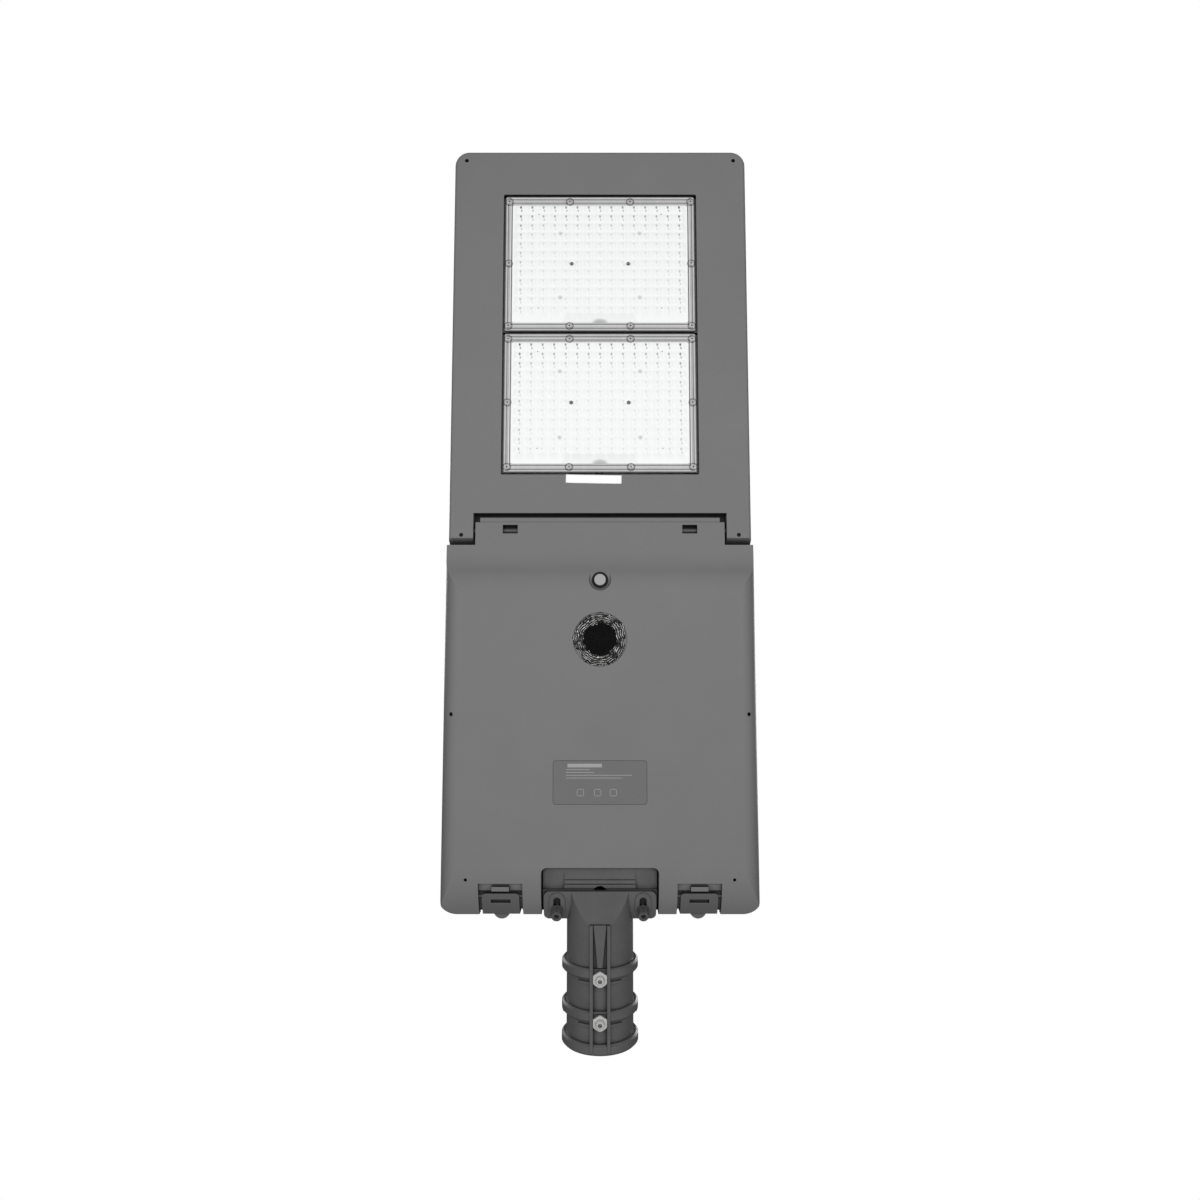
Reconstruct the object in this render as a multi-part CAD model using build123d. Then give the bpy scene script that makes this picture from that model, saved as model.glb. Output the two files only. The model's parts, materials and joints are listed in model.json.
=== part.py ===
"""All-in-one solar street lamp on a tilting pole spigot.

Frame: millimetres, origin at the centre of the spigot's mouth, +Y along the lamp to its
head end, +Z up through the solar panel. The light and the battery door face down.
"""
import os
from math import asin, cos, radians, sin, sqrt

from build123d import *

# ---------------------------------------------------------------- driving sizes
CLEAR = 0.3             # gap between pieces that move on each other
SCREW_CLEAR = 0.1       # radial gap round a screw in its hole
RUNNING = 0.05          # radial gap round a pin that turns

# shells
SHELL_WIDTH = 405.0     # top tray, across
SHELL_LENGTH = 1028.0   # top tray, along
PLAN_RADIUS = 20.0      # corner radius seen from above
WALL = 3.0
RIM_TOP = 42.0          # rim above the bore's axis
TRAY_DEPTH = 38.0       # rim down to the split between tray and covers
COVER_DEPTH = 12.0      # split down to the light's face
COVER_EDGE = 5.0        # rounding of the cover's lower edge
DOOR_DROP = 22.0        # the door's main face below the light's face
DOOR_PROUD = 2.0        # the door's skirt outside the tray
DOOR_EDGE = 24.0        # soft edge along the door's sides
DOOR_GAP = 0.5          # tray to door skirt

# spigot
SPIGOT_REACH = 157.0    # mouth to the tray's end
BORE_RADIUS = 38.5      # takes a 76 mm pole or arm
BORE_DEPTH = 118.0
CORE_RADIUS = 26.0      # hollow behind the bore
CORE_RISE = 6.0         # its axis above the bore's
TUBE_RADIUS = 42.5
RING_RADIUS = 48.5
RING_WIDTH = 13.0
RING_PLACES = (RING_WIDTH / 2, 45.0, 95.0)
RING_BEVEL = 2.5
RAIL_THICK = 4.0
RAIL_GAP = 17.5         # channel between the two rails
SET_SCREW_PLACES = (39.0, 90.0)
SET_SCREW_RADIUS = 5.0
SET_SCREW_LENGTH = 17.0
GRUB_SCREW_LENGTH = 8.5
LOCK_NUT_FLATS = 17.0
LOCK_NUT_THICK = 5.5
NUT_SEAT = 44.6         # bore axis to the face a lock nut bears on
GRUB_SEAT = 44.0        # bore axis to the flat round a grub screw
RAIL_END = 4.0          # the rails' head end past the tray's end

# tilting joint
SEAT_RADIUS = 60.0      # curved seat on the head
FLANGE_WALL = 8.0
FLANGE_WIDTH = 142.6
FLANGE_BACK = 30.0      # flange's head edge from the tray's end
FLANGE_CORNER = 7.0
FLANGE_LOW = -22.0      # lowest point of the flange's outer face
TILT_MAX = 10.0
TILT_BOLT_RADIUS = 4.0
TILT_BOLT_X = 54.5
TILT_BOLT_ANGLE = 20.0  # the bolt's lean from straight down
PAD_THICK = 1.5         # raised round each slot
EAR_ANGLE = 32.0        # the flange ends here, from straight down
SHIELD_TIP = 40.5       # the shield's lower end below the bore axis
HOLE_RADIUS = 9.5       # cable hole in the seat

# solar panel
GLASS_WIDTH = 386.0
GLASS_LENGTH = 1007.0
GLASS_THICK = 3.2
GLASS_SET_DOWN = 2.0
LAMINATE_THICK = 0.8
SEAL_THICK = 2.0
LEDGE_WIDTH = 16.5
CELL_WIDTH = 182.0
CELL_STRIP = 52.5
CELL_PITCH = 54.2
CELL_STRIPS = 18
STRIPS_PER_WAFER = 4
CELL_COLUMN_GAP = 2.0
CELL_CHAMFER = 5.0
CELL_THICK = 0.3
CELL_MARGIN_HEAD = 16.5
RIBBONS = 10
RIBBON_WIDTH = 0.9
RIBBON_THICK = 0.2
CLIP_LENGTH = 30.0
CLIP_DEPTH = 16.5
CLIP_THICK = 4.0
CLIP_OVERLAP = 6.0
CLIP_SCREW_PITCH = 16.0
CLIP_PITCH = 214.0
CLIP_END_X = 105.0

# light modules
WINDOW_WIDTH = 267.0
WINDOW_FROM_HEAD = 63.7
MODULE_WIDTH = 262.0
MODULE_LENGTH = 193.0
MODULE_GAP = 3.4
WINDOW_GAP = 3.0
LENS_COLUMNS = 15
LENS_ROWS = 12
LENS_PITCH_X = 15.66
LENS_PITCH_Y = 13.2
LENS_FIRST_ROW = 18.4
RIM_THICK = 5.0
LENS_FIELD_THICK = 2.2
RIM_SCREW_X = (125.7, 41.8)
RIM_SCREW_Y = 89.0

# battery door
HINGE_FROM_HEAD = 534.5
HINGE_Z = -1.0
HINGE_ROD_RADIUS = 3.0
SLOT_FROM_HEAD = 511.5
LIP_FROM_HEAD = 517.6
DOOR_TOP_FROM_HEAD = 524.0
EAR_FROM_HEAD = 552.0
DOOR_WIDE_FROM_HEAD = 554.4
EAR_INNER_X = 169.5
DOOR_NARROW_X = 166.5
RAMP_START = 558.0
RAMP_END = 621.0
FALL_FROM_TAIL = 61.0
FALL_RADIUS = 100.0
HINGE_WINDOW_X = 120.0
TROUGH_WALL = 2.0       # the tray's trough over the hinge
TROUGH_RISE = 1.8       # above the highest point the door's lip swings through

# button, sensor, label on the door
BUTTON_FROM_HEAD = 602.3
BUTTON_RADIUS = 7.7
BUTTON_TRAVEL = 2.0
BUTTON_SHANK = 4.0      # the cap's depth inside its body
BUTTON_BOSS = 7.0       # the door's boss, where the button's nut bears
BEZEL_RADIUS = 10.5
SENSOR_FROM_HEAD = 680.0
SENSOR_RADIUS = 21.5
BEAD_RADIUS = 33.5
LABEL_FROM_HEAD = 861.5
LABEL_WIDTH = 119.0
LABEL_LENGTH = 54.0

# latches
LATCH_X = 126.0
LATCH_WIDTH = 47.6
LATCH_POCKET = 56.0
LATCH_POCKET_FROM_TAIL = 41.0
LATCH_TOP_FROM_TAIL = 28.0
LATCH_SLOT_FROM_TAIL = 17.5
LATCH_THICK = 4.5
LATCH_SINK = 0.5
LATCH_PIN_RADIUS = 1.5
TAB_RADIUS = 11.0
TAB_REACH = 7.0
LATCH_GROOVE = 6.6      # round the knuckle, so the lever can swing

# bracket recess in the door
RECESS_WIDTH = 149.0
RECESS_FROM_TAIL = 61.0
RECESS_CORNER = 7.5
SEAT_GAP = 1.5          # seat to the recess's sides

# battery
CELL_RADIUS = 16.2
CELL_LENGTH = 70.5
BATTERY_COLUMNS = 4
BATTERY_ROWS = 6
CASE_WALL = 1.5

# controller, junction box and leads
CONTROLLER_SIZE = (120.0, 70.0, 20.0)
CONTROLLER_FROM_HEAD = 655.0
JUNCTION_X = 72.0
JUNCTION_FROM_HEAD = 585.0
JUNCTION_DEPTH = 13.0
LEAD_RADIUS = 2.0
LEAD_ENTRY = 22.0       # from a module's rear edge to its lead
LEAD_X = 5.0            # each light lead's distance from the middle
GROMMET_RADIUS = 9.0

# door seal
SEAL_INSET = 6.5        # the bay's edge to the seal's middle
SEAL_WIDTH = 3.2
SEAL_HEIGHT = 2.5
SEAL_WALL = 2.2         # the door's wall that meets the seal

# ---------------------------------------------------------------- derived places
TRAY_END = SPIGOT_REACH
HEAD_END = TRAY_END + SHELL_LENGTH
DOOR_END = TRAY_END - DOOR_PROUD
SPLIT_Z = RIM_TOP - TRAY_DEPTH
COVER_Z = SPLIT_Z - COVER_DEPTH
DOOR_Z = COVER_Z - DOOR_DROP
HALF = SHELL_WIDTH / 2
DOOR_HALF = HALF + DOOR_PROUD
GLASS_TOP = RIM_TOP - GLASS_SET_DOWN
GLASS_LOW = GLASS_TOP - GLASS_THICK
SHEET_LOW = GLASS_LOW - LAMINATE_THICK
LEDGE_TOP = SHEET_LOW - SEAL_THICK
LEDGE_LOW = LEDGE_TOP - WALL
PIVOT_Y = TRAY_END + FLANGE_BACK
PIVOT_Z = FLANGE_LOW + SEAT_RADIUS + CLEAR + FLANGE_WALL
MID_Y = TRAY_END + SHELL_LENGTH / 2


def from_head(distance):
    """The Y of a place measured from the head end."""
    return HEAD_END - distance


def from_tail(distance):
    """The Y of a place measured from the tray's spigot end."""
    return TRAY_END + distance


HINGE_Y = from_head(HINGE_FROM_HEAD)
SLOT_Y = from_head(SLOT_FROM_HEAD)
BULKHEAD_Y = SLOT_Y + WALL
MODULE_CENTRES = tuple(
    from_head(WINDOW_FROM_HEAD + WINDOW_GAP + MODULE_LENGTH / 2 + i * (MODULE_LENGTH + MODULE_GAP))
    for i in range(2)
)
RIM_FACE_Z = COVER_Z + 1.0
RIM_BACK_Z = RIM_FACE_Z + RIM_THICK
GASKET_THICK = 1.0
HEATSINK_LOW = RIM_BACK_Z + GASKET_THICK
HEATSINK_BASE = 4.0
HEATSINK_TOP = 21.0
BOARD_THICK = 1.6
PLATE_LOW = LEDGE_LOW - 7.0
PLATE_THICK = 2.0
PLATE_BOSS_X = HALF - WALL - 9.0
PLATE_END = from_head(619.0)
PLATE_BOSSES = (TRAY_END + 60.0, (TRAY_END + PLATE_END) / 2, PLATE_END - 20.0)
BATTERY_Y = from_head(848.0)
LIP_SWING = sqrt((HINGE_FROM_HEAD - LIP_FROM_HEAD) ** 2 + (COVER_Z + 2.0 - HINGE_Z) ** 2)
TROUGH_Z = HINGE_Z + LIP_SWING + TROUGH_RISE
BUTTON_Y = from_head(BUTTON_FROM_HEAD)
BUTTON_FLOOR = COVER_Z - 14.5
SENSOR_Y = from_head(SENSOR_FROM_HEAD)
CONTROLLER_Y = from_head(CONTROLLER_FROM_HEAD)
JUNCTION_Y = from_head(JUNCTION_FROM_HEAD)
JUNCTION_LOW = SHEET_LOW - JUNCTION_DEPTH
LEAD_Z = HEATSINK_TOP + LEAD_RADIUS + 1.2
CASE_WIDTH = BATTERY_COLUMNS * (CELL_LENGTH + 1.0) + 2 * CASE_WALL + 3
CASE_LENGTH = BATTERY_ROWS * (2 * CELL_RADIUS + 0.6) + 2 * CASE_WALL + 3
CASE_TOP = PLATE_LOW - CLEAR
CASE_LOW = CASE_TOP - 2 * CELL_RADIUS - 2 * CASE_WALL - 2.0
LATCH_PIN_Y = from_tail(LATCH_TOP_FROM_TAIL) - 4.0
LATCH_PIN_Z = DOOR_Z + FALL_RADIUS - sqrt(
    (FALL_RADIUS - 3.6) ** 2 - (from_tail(FALL_FROM_TAIL) - LATCH_PIN_Y) ** 2
)


# ---------------------------------------------------------------- helpers
def block(x0, x1, y0, y1, z0, z1):
    """A block between two corners."""
    return Pos((x0 + x1) / 2, (y0 + y1) / 2, (z0 + z1) / 2) * Box(x1 - x0, y1 - y0, z1 - z0)


def both_sides(x0, x1, y0, y1, z0, z1):
    """A block and its mirror image across the centre plane."""
    return [block(x0, x1, y0, y1, z0, z1), block(-x1, -x0, y0, y1, z0, z1)]


def upright(x, y, radius, z0, z1):
    """A round bar along Z."""
    return Pos(x, y, (z0 + z1) / 2) * Cylinder(radius, z1 - z0)


def along_x(x0, x1, y, z, radius):
    """A round bar along X."""
    return Pos((x0 + x1) / 2, y, z) * Rot(0, 90, 0) * Cylinder(radius, x1 - x0)


def along_y(x, y0, y1, z, radius):
    """A round bar along Y."""
    return Pos(x, (y0 + y1) / 2, z) * Rot(90, 0, 0) * Cylinder(radius, y1 - y0)


def slab(width, y0, y1, z0, z1, radius):
    """A block centred on the lamp's middle plane, with round corners in plan."""
    outline = RectangleRounded(width, y1 - y0, radius)
    return Pos(0, (y0 + y1) / 2, z0) * extrude(outline, z1 - z0)


def group(pieces):
    """Like pieces that stay separate solids in one node."""
    return Compound(children=[solid for piece in pieces for solid in piece.solids()])


def sockethead(x, y, z, radius, head_radius, head, length, socket):
    """A socket screw pointing up, its head's underside at z."""
    screw = upright(x, y, radius, z, z + length) + upright(x, y, head_radius, z - head, z)
    hexagon = Pos(x, y, z - head) * extrude(RegularPolygon(socket, 6), head * 0.6)
    return screw - hexagon


def crosshead(x, y, z, radius, head_radius, head, length, up):
    """A pan-head screw with a cross recess; up is +1 when its head is on top."""
    shank = upright(x, y, radius, *sorted((z, z - up * length)))
    cap = upright(x, y, head_radius, *sorted((z, z + up * head)))
    rim = cap.edges().group_by(Axis.Z)[-1 if up > 0 else 0]
    cap = fillet(rim, head * 0.6)
    deep = sorted((z + up * head * 0.35, z + up * head))
    arm, web = head_radius * 0.55, head_radius * 0.12
    cross = block(x - arm, x + arm, y - web, y + web, *deep)
    cross += block(x - web, x + web, y - arm, y + arm, *deep)
    return shank + cap - cross


def leaned(shape, angle):
    """Turns a piece built straight below the tilt axis to lean towards the spigot."""
    return Pos(0, PIVOT_Y, PIVOT_Z) * Rot(-angle, 0, 0) * shape


def seat_drum(radius, width):
    """A drum about the tilt axis."""
    return along_x(-width / 2, width / 2, PIVOT_Y, PIVOT_Z, radius)


# ---------------------------------------------------------------- spigot
def make_spigot():
    """The cast tube with its rings, rails, shield and curved flange."""
    low_arc = SEAT_RADIUS + CLEAR
    tube = along_y(0, 0, PIVOT_Y, 0, TUBE_RADIUS)
    for place in RING_PLACES:
        ring = along_y(0, place - RING_WIDTH / 2, place + RING_WIDTH / 2, 0, RING_RADIUS)
        tube += chamfer(ring.edges().filter_by(GeomType.CIRCLE), RING_BEVEL)
    rail_end = TRAY_END + RAIL_END
    for side in (-1, 1):
        middle = side * (RAIL_GAP + RAIL_THICK) / 2
        tube += block(middle - RAIL_THICK / 2, middle + RAIL_THICK / 2, 4.0, rail_end, -RING_RADIUS, -30.0)
        near = side * (RAIL_GAP / 2 + RAIL_THICK)
        for place in RING_PLACES[1:]:
            web = along_y(0, place - RING_WIDTH, place - RING_WIDTH + 3.0, 0, TUBE_RADIUS + 2.0)
            reach = sorted((near, near + side * 14.0))
            tube += web & block(*reach, 0, TRAY_END, -RING_RADIUS, -30.0)
    ridge = Polyline(
        (-RAIL_GAP / 2, rail_end), (RAIL_GAP / 2, rail_end), (3.0, 103.0), (-3.0, 103.0), close=True,
    )
    tube += Pos(0, 0, -RING_RADIUS + 2.0) * extrude(make_face(ridge), 8.0)
    # the shield: a sloping plane that pares the tube's underside up to the flange's edge
    slope = Polyline(
        (PIVOT_Y + 20, FLANGE_LOW + 10.0),
        (PIVOT_Y, FLANGE_LOW),
        (rail_end - 8.0, -SHIELD_TIP),
        (rail_end - 8.0, -80.0),
        (PIVOT_Y + 20, -80.0),
        close=True,
    )
    tube -= extrude(Plane.YZ * make_face(slope), 60.0, both=True)
    # the casting is hollow behind the pole, up to the flange's back
    tube -= along_y(0, -1.0, BORE_DEPTH, 0, BORE_RADIUS)
    tube -= along_y(0, BORE_DEPTH - 1.0, PIVOT_Y, CORE_RISE, CORE_RADIUS)
    tube -= seat_drum(low_arc + FLANGE_WALL / 2, 200)
    flange = seat_drum(low_arc + FLANGE_WALL, FLANGE_WIDTH) - seat_drum(low_arc, 200)
    flange &= slab(
        FLANGE_WIDTH, PIVOT_Y - (SEAT_RADIUS + FLANGE_WALL) * sin(radians(EAR_ANGLE)), PIVOT_Y,
        -70.0, 10.0, FLANGE_CORNER,
    )
    upper = seat_drum(low_arc + FLANGE_WALL, 2 * TUBE_RADIUS) - seat_drum(low_arc, 200)
    upper &= along_y(0, TRAY_END - 40, PIVOT_Y, 0, TUBE_RADIUS)
    tube = tube + flange + upper
    pad_radius = low_arc + FLANGE_WALL + PAD_THICK
    for side in (-1, 1):
        pad = ear_slot(side, 6.0 + TILT_BOLT_RADIUS, low_arc + 1.0, pad_radius)
        tube += pad & slab(FLANGE_WIDTH, 100.0, PIVOT_Y, -70.0, 10.0, FLANGE_CORNER)
    for side in (-1, 1):
        tube -= ear_slot(side, TILT_BOLT_RADIUS + 0.5, low_arc - 5.0, pad_radius + 10.0)
    for y in SET_SCREW_PLACES:
        tube -= block(-RAIL_GAP / 2, RAIL_GAP / 2, y - 11.0, y + 11.0, -60.0, -NUT_SEAT)
        tube -= upright(0, y, SET_SCREW_RADIUS + SCREW_CLEAR, -60.0, 0.0)
    for side in (-1, 1):
        reach = sorted((side * GRUB_SEAT, side * 60.0))
        tube -= along_x(*reach, SET_SCREW_PLACES[0], 0, SET_SCREW_RADIUS + 2.5)
        reach = sorted((0.0, side * 60.0))
        tube -= along_x(*reach, SET_SCREW_PLACES[0], 0, SET_SCREW_RADIUS + SCREW_CLEAR)
    for y in (64.0, 22.0):
        tube -= block(-RAIL_GAP / 2, RAIL_GAP / 2, y - 9.0, y + 9.0, -60.0, -NUT_SEAT + 2.0)
    return tube.solids().sort_by(SortBy.VOLUME)[-1]


def ear_slot(side, radius, near, far):
    """The long hole through a flange ear, swept round the tilt axis by the tilt range."""
    x = side * TILT_BOLT_X
    low, high = TILT_BOLT_ANGLE - TILT_MAX - 0.5, TILT_BOLT_ANGLE + 0.5
    reach = far + 20.0
    sweep = Polyline(
        (0, 0), (-reach * sin(radians(low)), -reach * cos(radians(low))),
        (-reach * sin(radians(high)), -reach * cos(radians(high))), close=True,
    )
    fan = Pos(x, PIVOT_Y, PIVOT_Z) * extrude(Plane.YZ * make_face(sweep), radius, both=True)
    for angle in (low, high):
        fan += leaned(upright(x, 0, radius, -reach, -near + 15.0), angle)
    ring = seat_drum(far, 400) - seat_drum(near, 400)
    return fan & ring


def make_set_screws():
    """The two screws below that grip the pole."""
    return group([set_screw(Pos(0, y, 0) * Rot(180, 0, 0), SET_SCREW_LENGTH) for y in SET_SCREW_PLACES])


def make_grub_screws():
    """A short screw on each side that steadies the pole."""
    place = Pos(0, SET_SCREW_PLACES[0], 0)
    return group([set_screw(place * Rot(0, side, 0), GRUB_SCREW_LENGTH) for side in (-90, 90)])


def set_screw(place, length):
    """One screw along its own +Z, tip just outside the bore, hexagon socket at its outer end."""
    low = BORE_RADIUS + 0.2
    bar = upright(0, 0, SET_SCREW_RADIUS, low, low + length)
    bar = chamfer(bar.edges().filter_by(GeomType.CIRCLE), 0.8)
    socket = Pos(0, 0, low + length - 5.0) * extrude(RegularPolygon(2.9, 6), 6.0)
    return place * (bar - socket)


def make_lock_nuts():
    """Thin hexagon nuts on the set screws."""
    return group([lock_nut(Pos(0, y, 0) * Rot(180, 0, 0)) for y in SET_SCREW_PLACES])


def lock_nut(place):
    """One nut standing on its seat, with its corners turned down."""
    hexagon = RegularPolygon(LOCK_NUT_FLATS / 2, 6, major_radius=False, rotation=30)
    body = Pos(0, 0, NUT_SEAT) * extrude(hexagon, LOCK_NUT_THICK)
    cone = Cone(LOCK_NUT_FLATS / 2 + 4.2, LOCK_NUT_FLATS / 2 + 0.3, LOCK_NUT_THICK)
    dome = Pos(0, 0, NUT_SEAT + LOCK_NUT_THICK / 2) * cone
    return place * ((body & dome) - upright(0, 0, SET_SCREW_RADIUS + RUNNING, 40.0, 60.0))


# ---------------------------------------------------------------- tilting seat on the head
def make_seat():
    """The casting that the flange slides round, hollow above, with angle marks at its edge."""
    back = from_tail(RECESS_FROM_TAIL - SEAT_GAP)
    front = TRAY_END + WALL + 0.5
    half = RECESS_WIDTH / 2 - SEAT_GAP
    flat = PIVOT_Z - SEAT_RADIUS + 4.0
    mass = slab(2 * half, front, back, -20.0, PLATE_LOW, RECESS_CORNER - SEAT_GAP)
    round_part = seat_drum(SEAT_RADIUS, 2 * half) - block(-half, half, PIVOT_Y + 0.6, back + 30, -60, 120)
    step = seat_drum(SEAT_RADIUS, 91.0) & block(-half, half, PIVOT_Y, back + 30, -60, 120)
    seat = mass & (round_part + step + block(-half, half, PIVOT_Y, back, flat, 120))
    for angle in (-1.2, -6.4, -11.6):
        seat -= leaned(block(-50, 50, -0.7, 0.7, -SEAT_RADIUS - 2, -SEAT_RADIUS + 1.5), angle)
    pocket = block(-half + 8, half - 8, front + 8, back - 7, flat + 9.0, 60)
    inner = seat_drum(SEAT_RADIUS - 8.0, 2 * half)
    pocket &= inner + block(-half, half, PIVOT_Y, back, flat, 120)
    for side in (-1, 1):
        boss = upright(side * TILT_BOLT_X, 0, 9.0, -SEAT_RADIUS + 2, -SEAT_RADIUS + 24)
        pocket -= leaned(boss, TILT_BOLT_ANGLE)
    for x, y in seat_screw_places():
        pocket -= upright(x, y, 7.0, flat, 60)
    seat -= pocket
    for side in (-1, 1):
        radius = TILT_BOLT_RADIUS + SCREW_CLEAR
        bore = upright(side * TILT_BOLT_X, 0, radius, -SEAT_RADIUS - 5, -SEAT_RADIUS + 21)
        seat -= leaned(bore, TILT_BOLT_ANGLE)
    for x, y in seat_screw_places():
        seat -= upright(x, y, 3.0 + SCREW_CLEAR, PLATE_LOW - 16.0, PLATE_LOW + 1)
    seat -= upright(0, PIVOT_Y - 5.0, HOLE_RADIUS, -60, flat + 12)
    return seat.solids().sort_by(SortBy.VOLUME)[-1]


def seat_screw_places():
    """Where the seat is screwed up to the chassis plate."""
    half = RECESS_WIDTH / 2 - SEAT_GAP
    ys = (TRAY_END + WALL + 7.5, from_tail(RECESS_FROM_TAIL - SEAT_GAP - 7.0))
    return [(x, y) for x in (-half + 7, half - 7) for y in ys]


def make_seat_screws():
    """Four screws down through the chassis plate into the seat."""
    z = PLATE_LOW + PLATE_THICK
    screws = [upright(x, y, 3.0, z - 15, z) + upright(x, y, 5.0, z, z + 3.5) for x, y in seat_screw_places()]
    return group(screws)


def make_tilt_bolts():
    """Two socket-head bolts that lock the tilt."""
    top = SEAT_RADIUS + CLEAR + FLANGE_WALL + PAD_THICK + CLEAR + 4.2
    bolts = []
    for side in (-1, 1):
        length = top - SEAT_RADIUS + 20
        bolt = sockethead(side * TILT_BOLT_X, 0, -top, TILT_BOLT_RADIUS, 6.5, 8.0, length, 3.4)
        bolts.append(leaned(bolt, TILT_BOLT_ANGLE))
    return group(bolts)


def make_tilt_washers():
    """A flat and a split spring washer under each tilt bolt's head."""
    low = SEAT_RADIUS + CLEAR + FLANGE_WALL + PAD_THICK + CLEAR
    washers = []
    for side in (-1, 1):
        x = side * TILT_BOLT_X
        flat = upright(x, 0, 8.0, -low - 1.6, -low)
        spring = upright(x, 0, 6.7, -low - 4.0, -low - 1.8) - block(x, x + 9, -0.6, 0.6, -low - 4, -low - 1.8)
        hole = upright(x, 0, TILT_BOLT_RADIUS + 0.2, -low - 5, -low + 1)
        washers += [leaned(flat - hole, TILT_BOLT_ANGLE), leaned(spring - hole, TILT_BOLT_ANGLE)]
    return group(washers)


# ---------------------------------------------------------------- top tray
def clip_places():
    """Centre, and quarter turns, of every panel clip; turn 0 clips the +X edge."""
    side_x = GLASS_WIDTH / 2 - CLIP_OVERLAP + CLIP_DEPTH / 2
    end_y = GLASS_LENGTH / 2 - CLIP_OVERLAP + CLIP_DEPTH / 2
    places = []
    for i in range(5):
        y = MID_Y + (i - 2) * CLIP_PITCH
        places += [(side_x, y, 0), (-side_x, y, 2)]
    for x in (-CLIP_END_X, CLIP_END_X):
        places += [(x, MID_Y + end_y, 1), (x, MID_Y - end_y, 3)]
    return places


def bay_outline():
    """Plan of the battery bay, notched round the tilting seat."""
    y0, y1 = TRAY_END + WALL, from_head(DOOR_WIDE_FROM_HEAD + WALL)
    bay = Pos(0, (y0 + y1) / 2) * Rectangle(2 * (HALF - WALL), y1 - y0)
    notch_end = from_tail(RECESS_FROM_TAIL + WALL + 1.0)
    notch = Pos(0, (y0 - 10 + notch_end) / 2) * Rectangle(RECESS_WIDTH + 2 * WALL + 2, notch_end - y0 + 10)
    return bay - notch


def bay_ring(outer, inner, z0, z1):
    """A ring inside the bay's outline, between two insets."""
    face = bay_outline()
    edge = offset(face, -outer, kind=Kind.INTERSECTION) if outer else face
    ring = edge - offset(face, -inner, kind=Kind.INTERSECTION)
    return Pos(0, 0, z0) * extrude(ring, z1 - z0)


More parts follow.
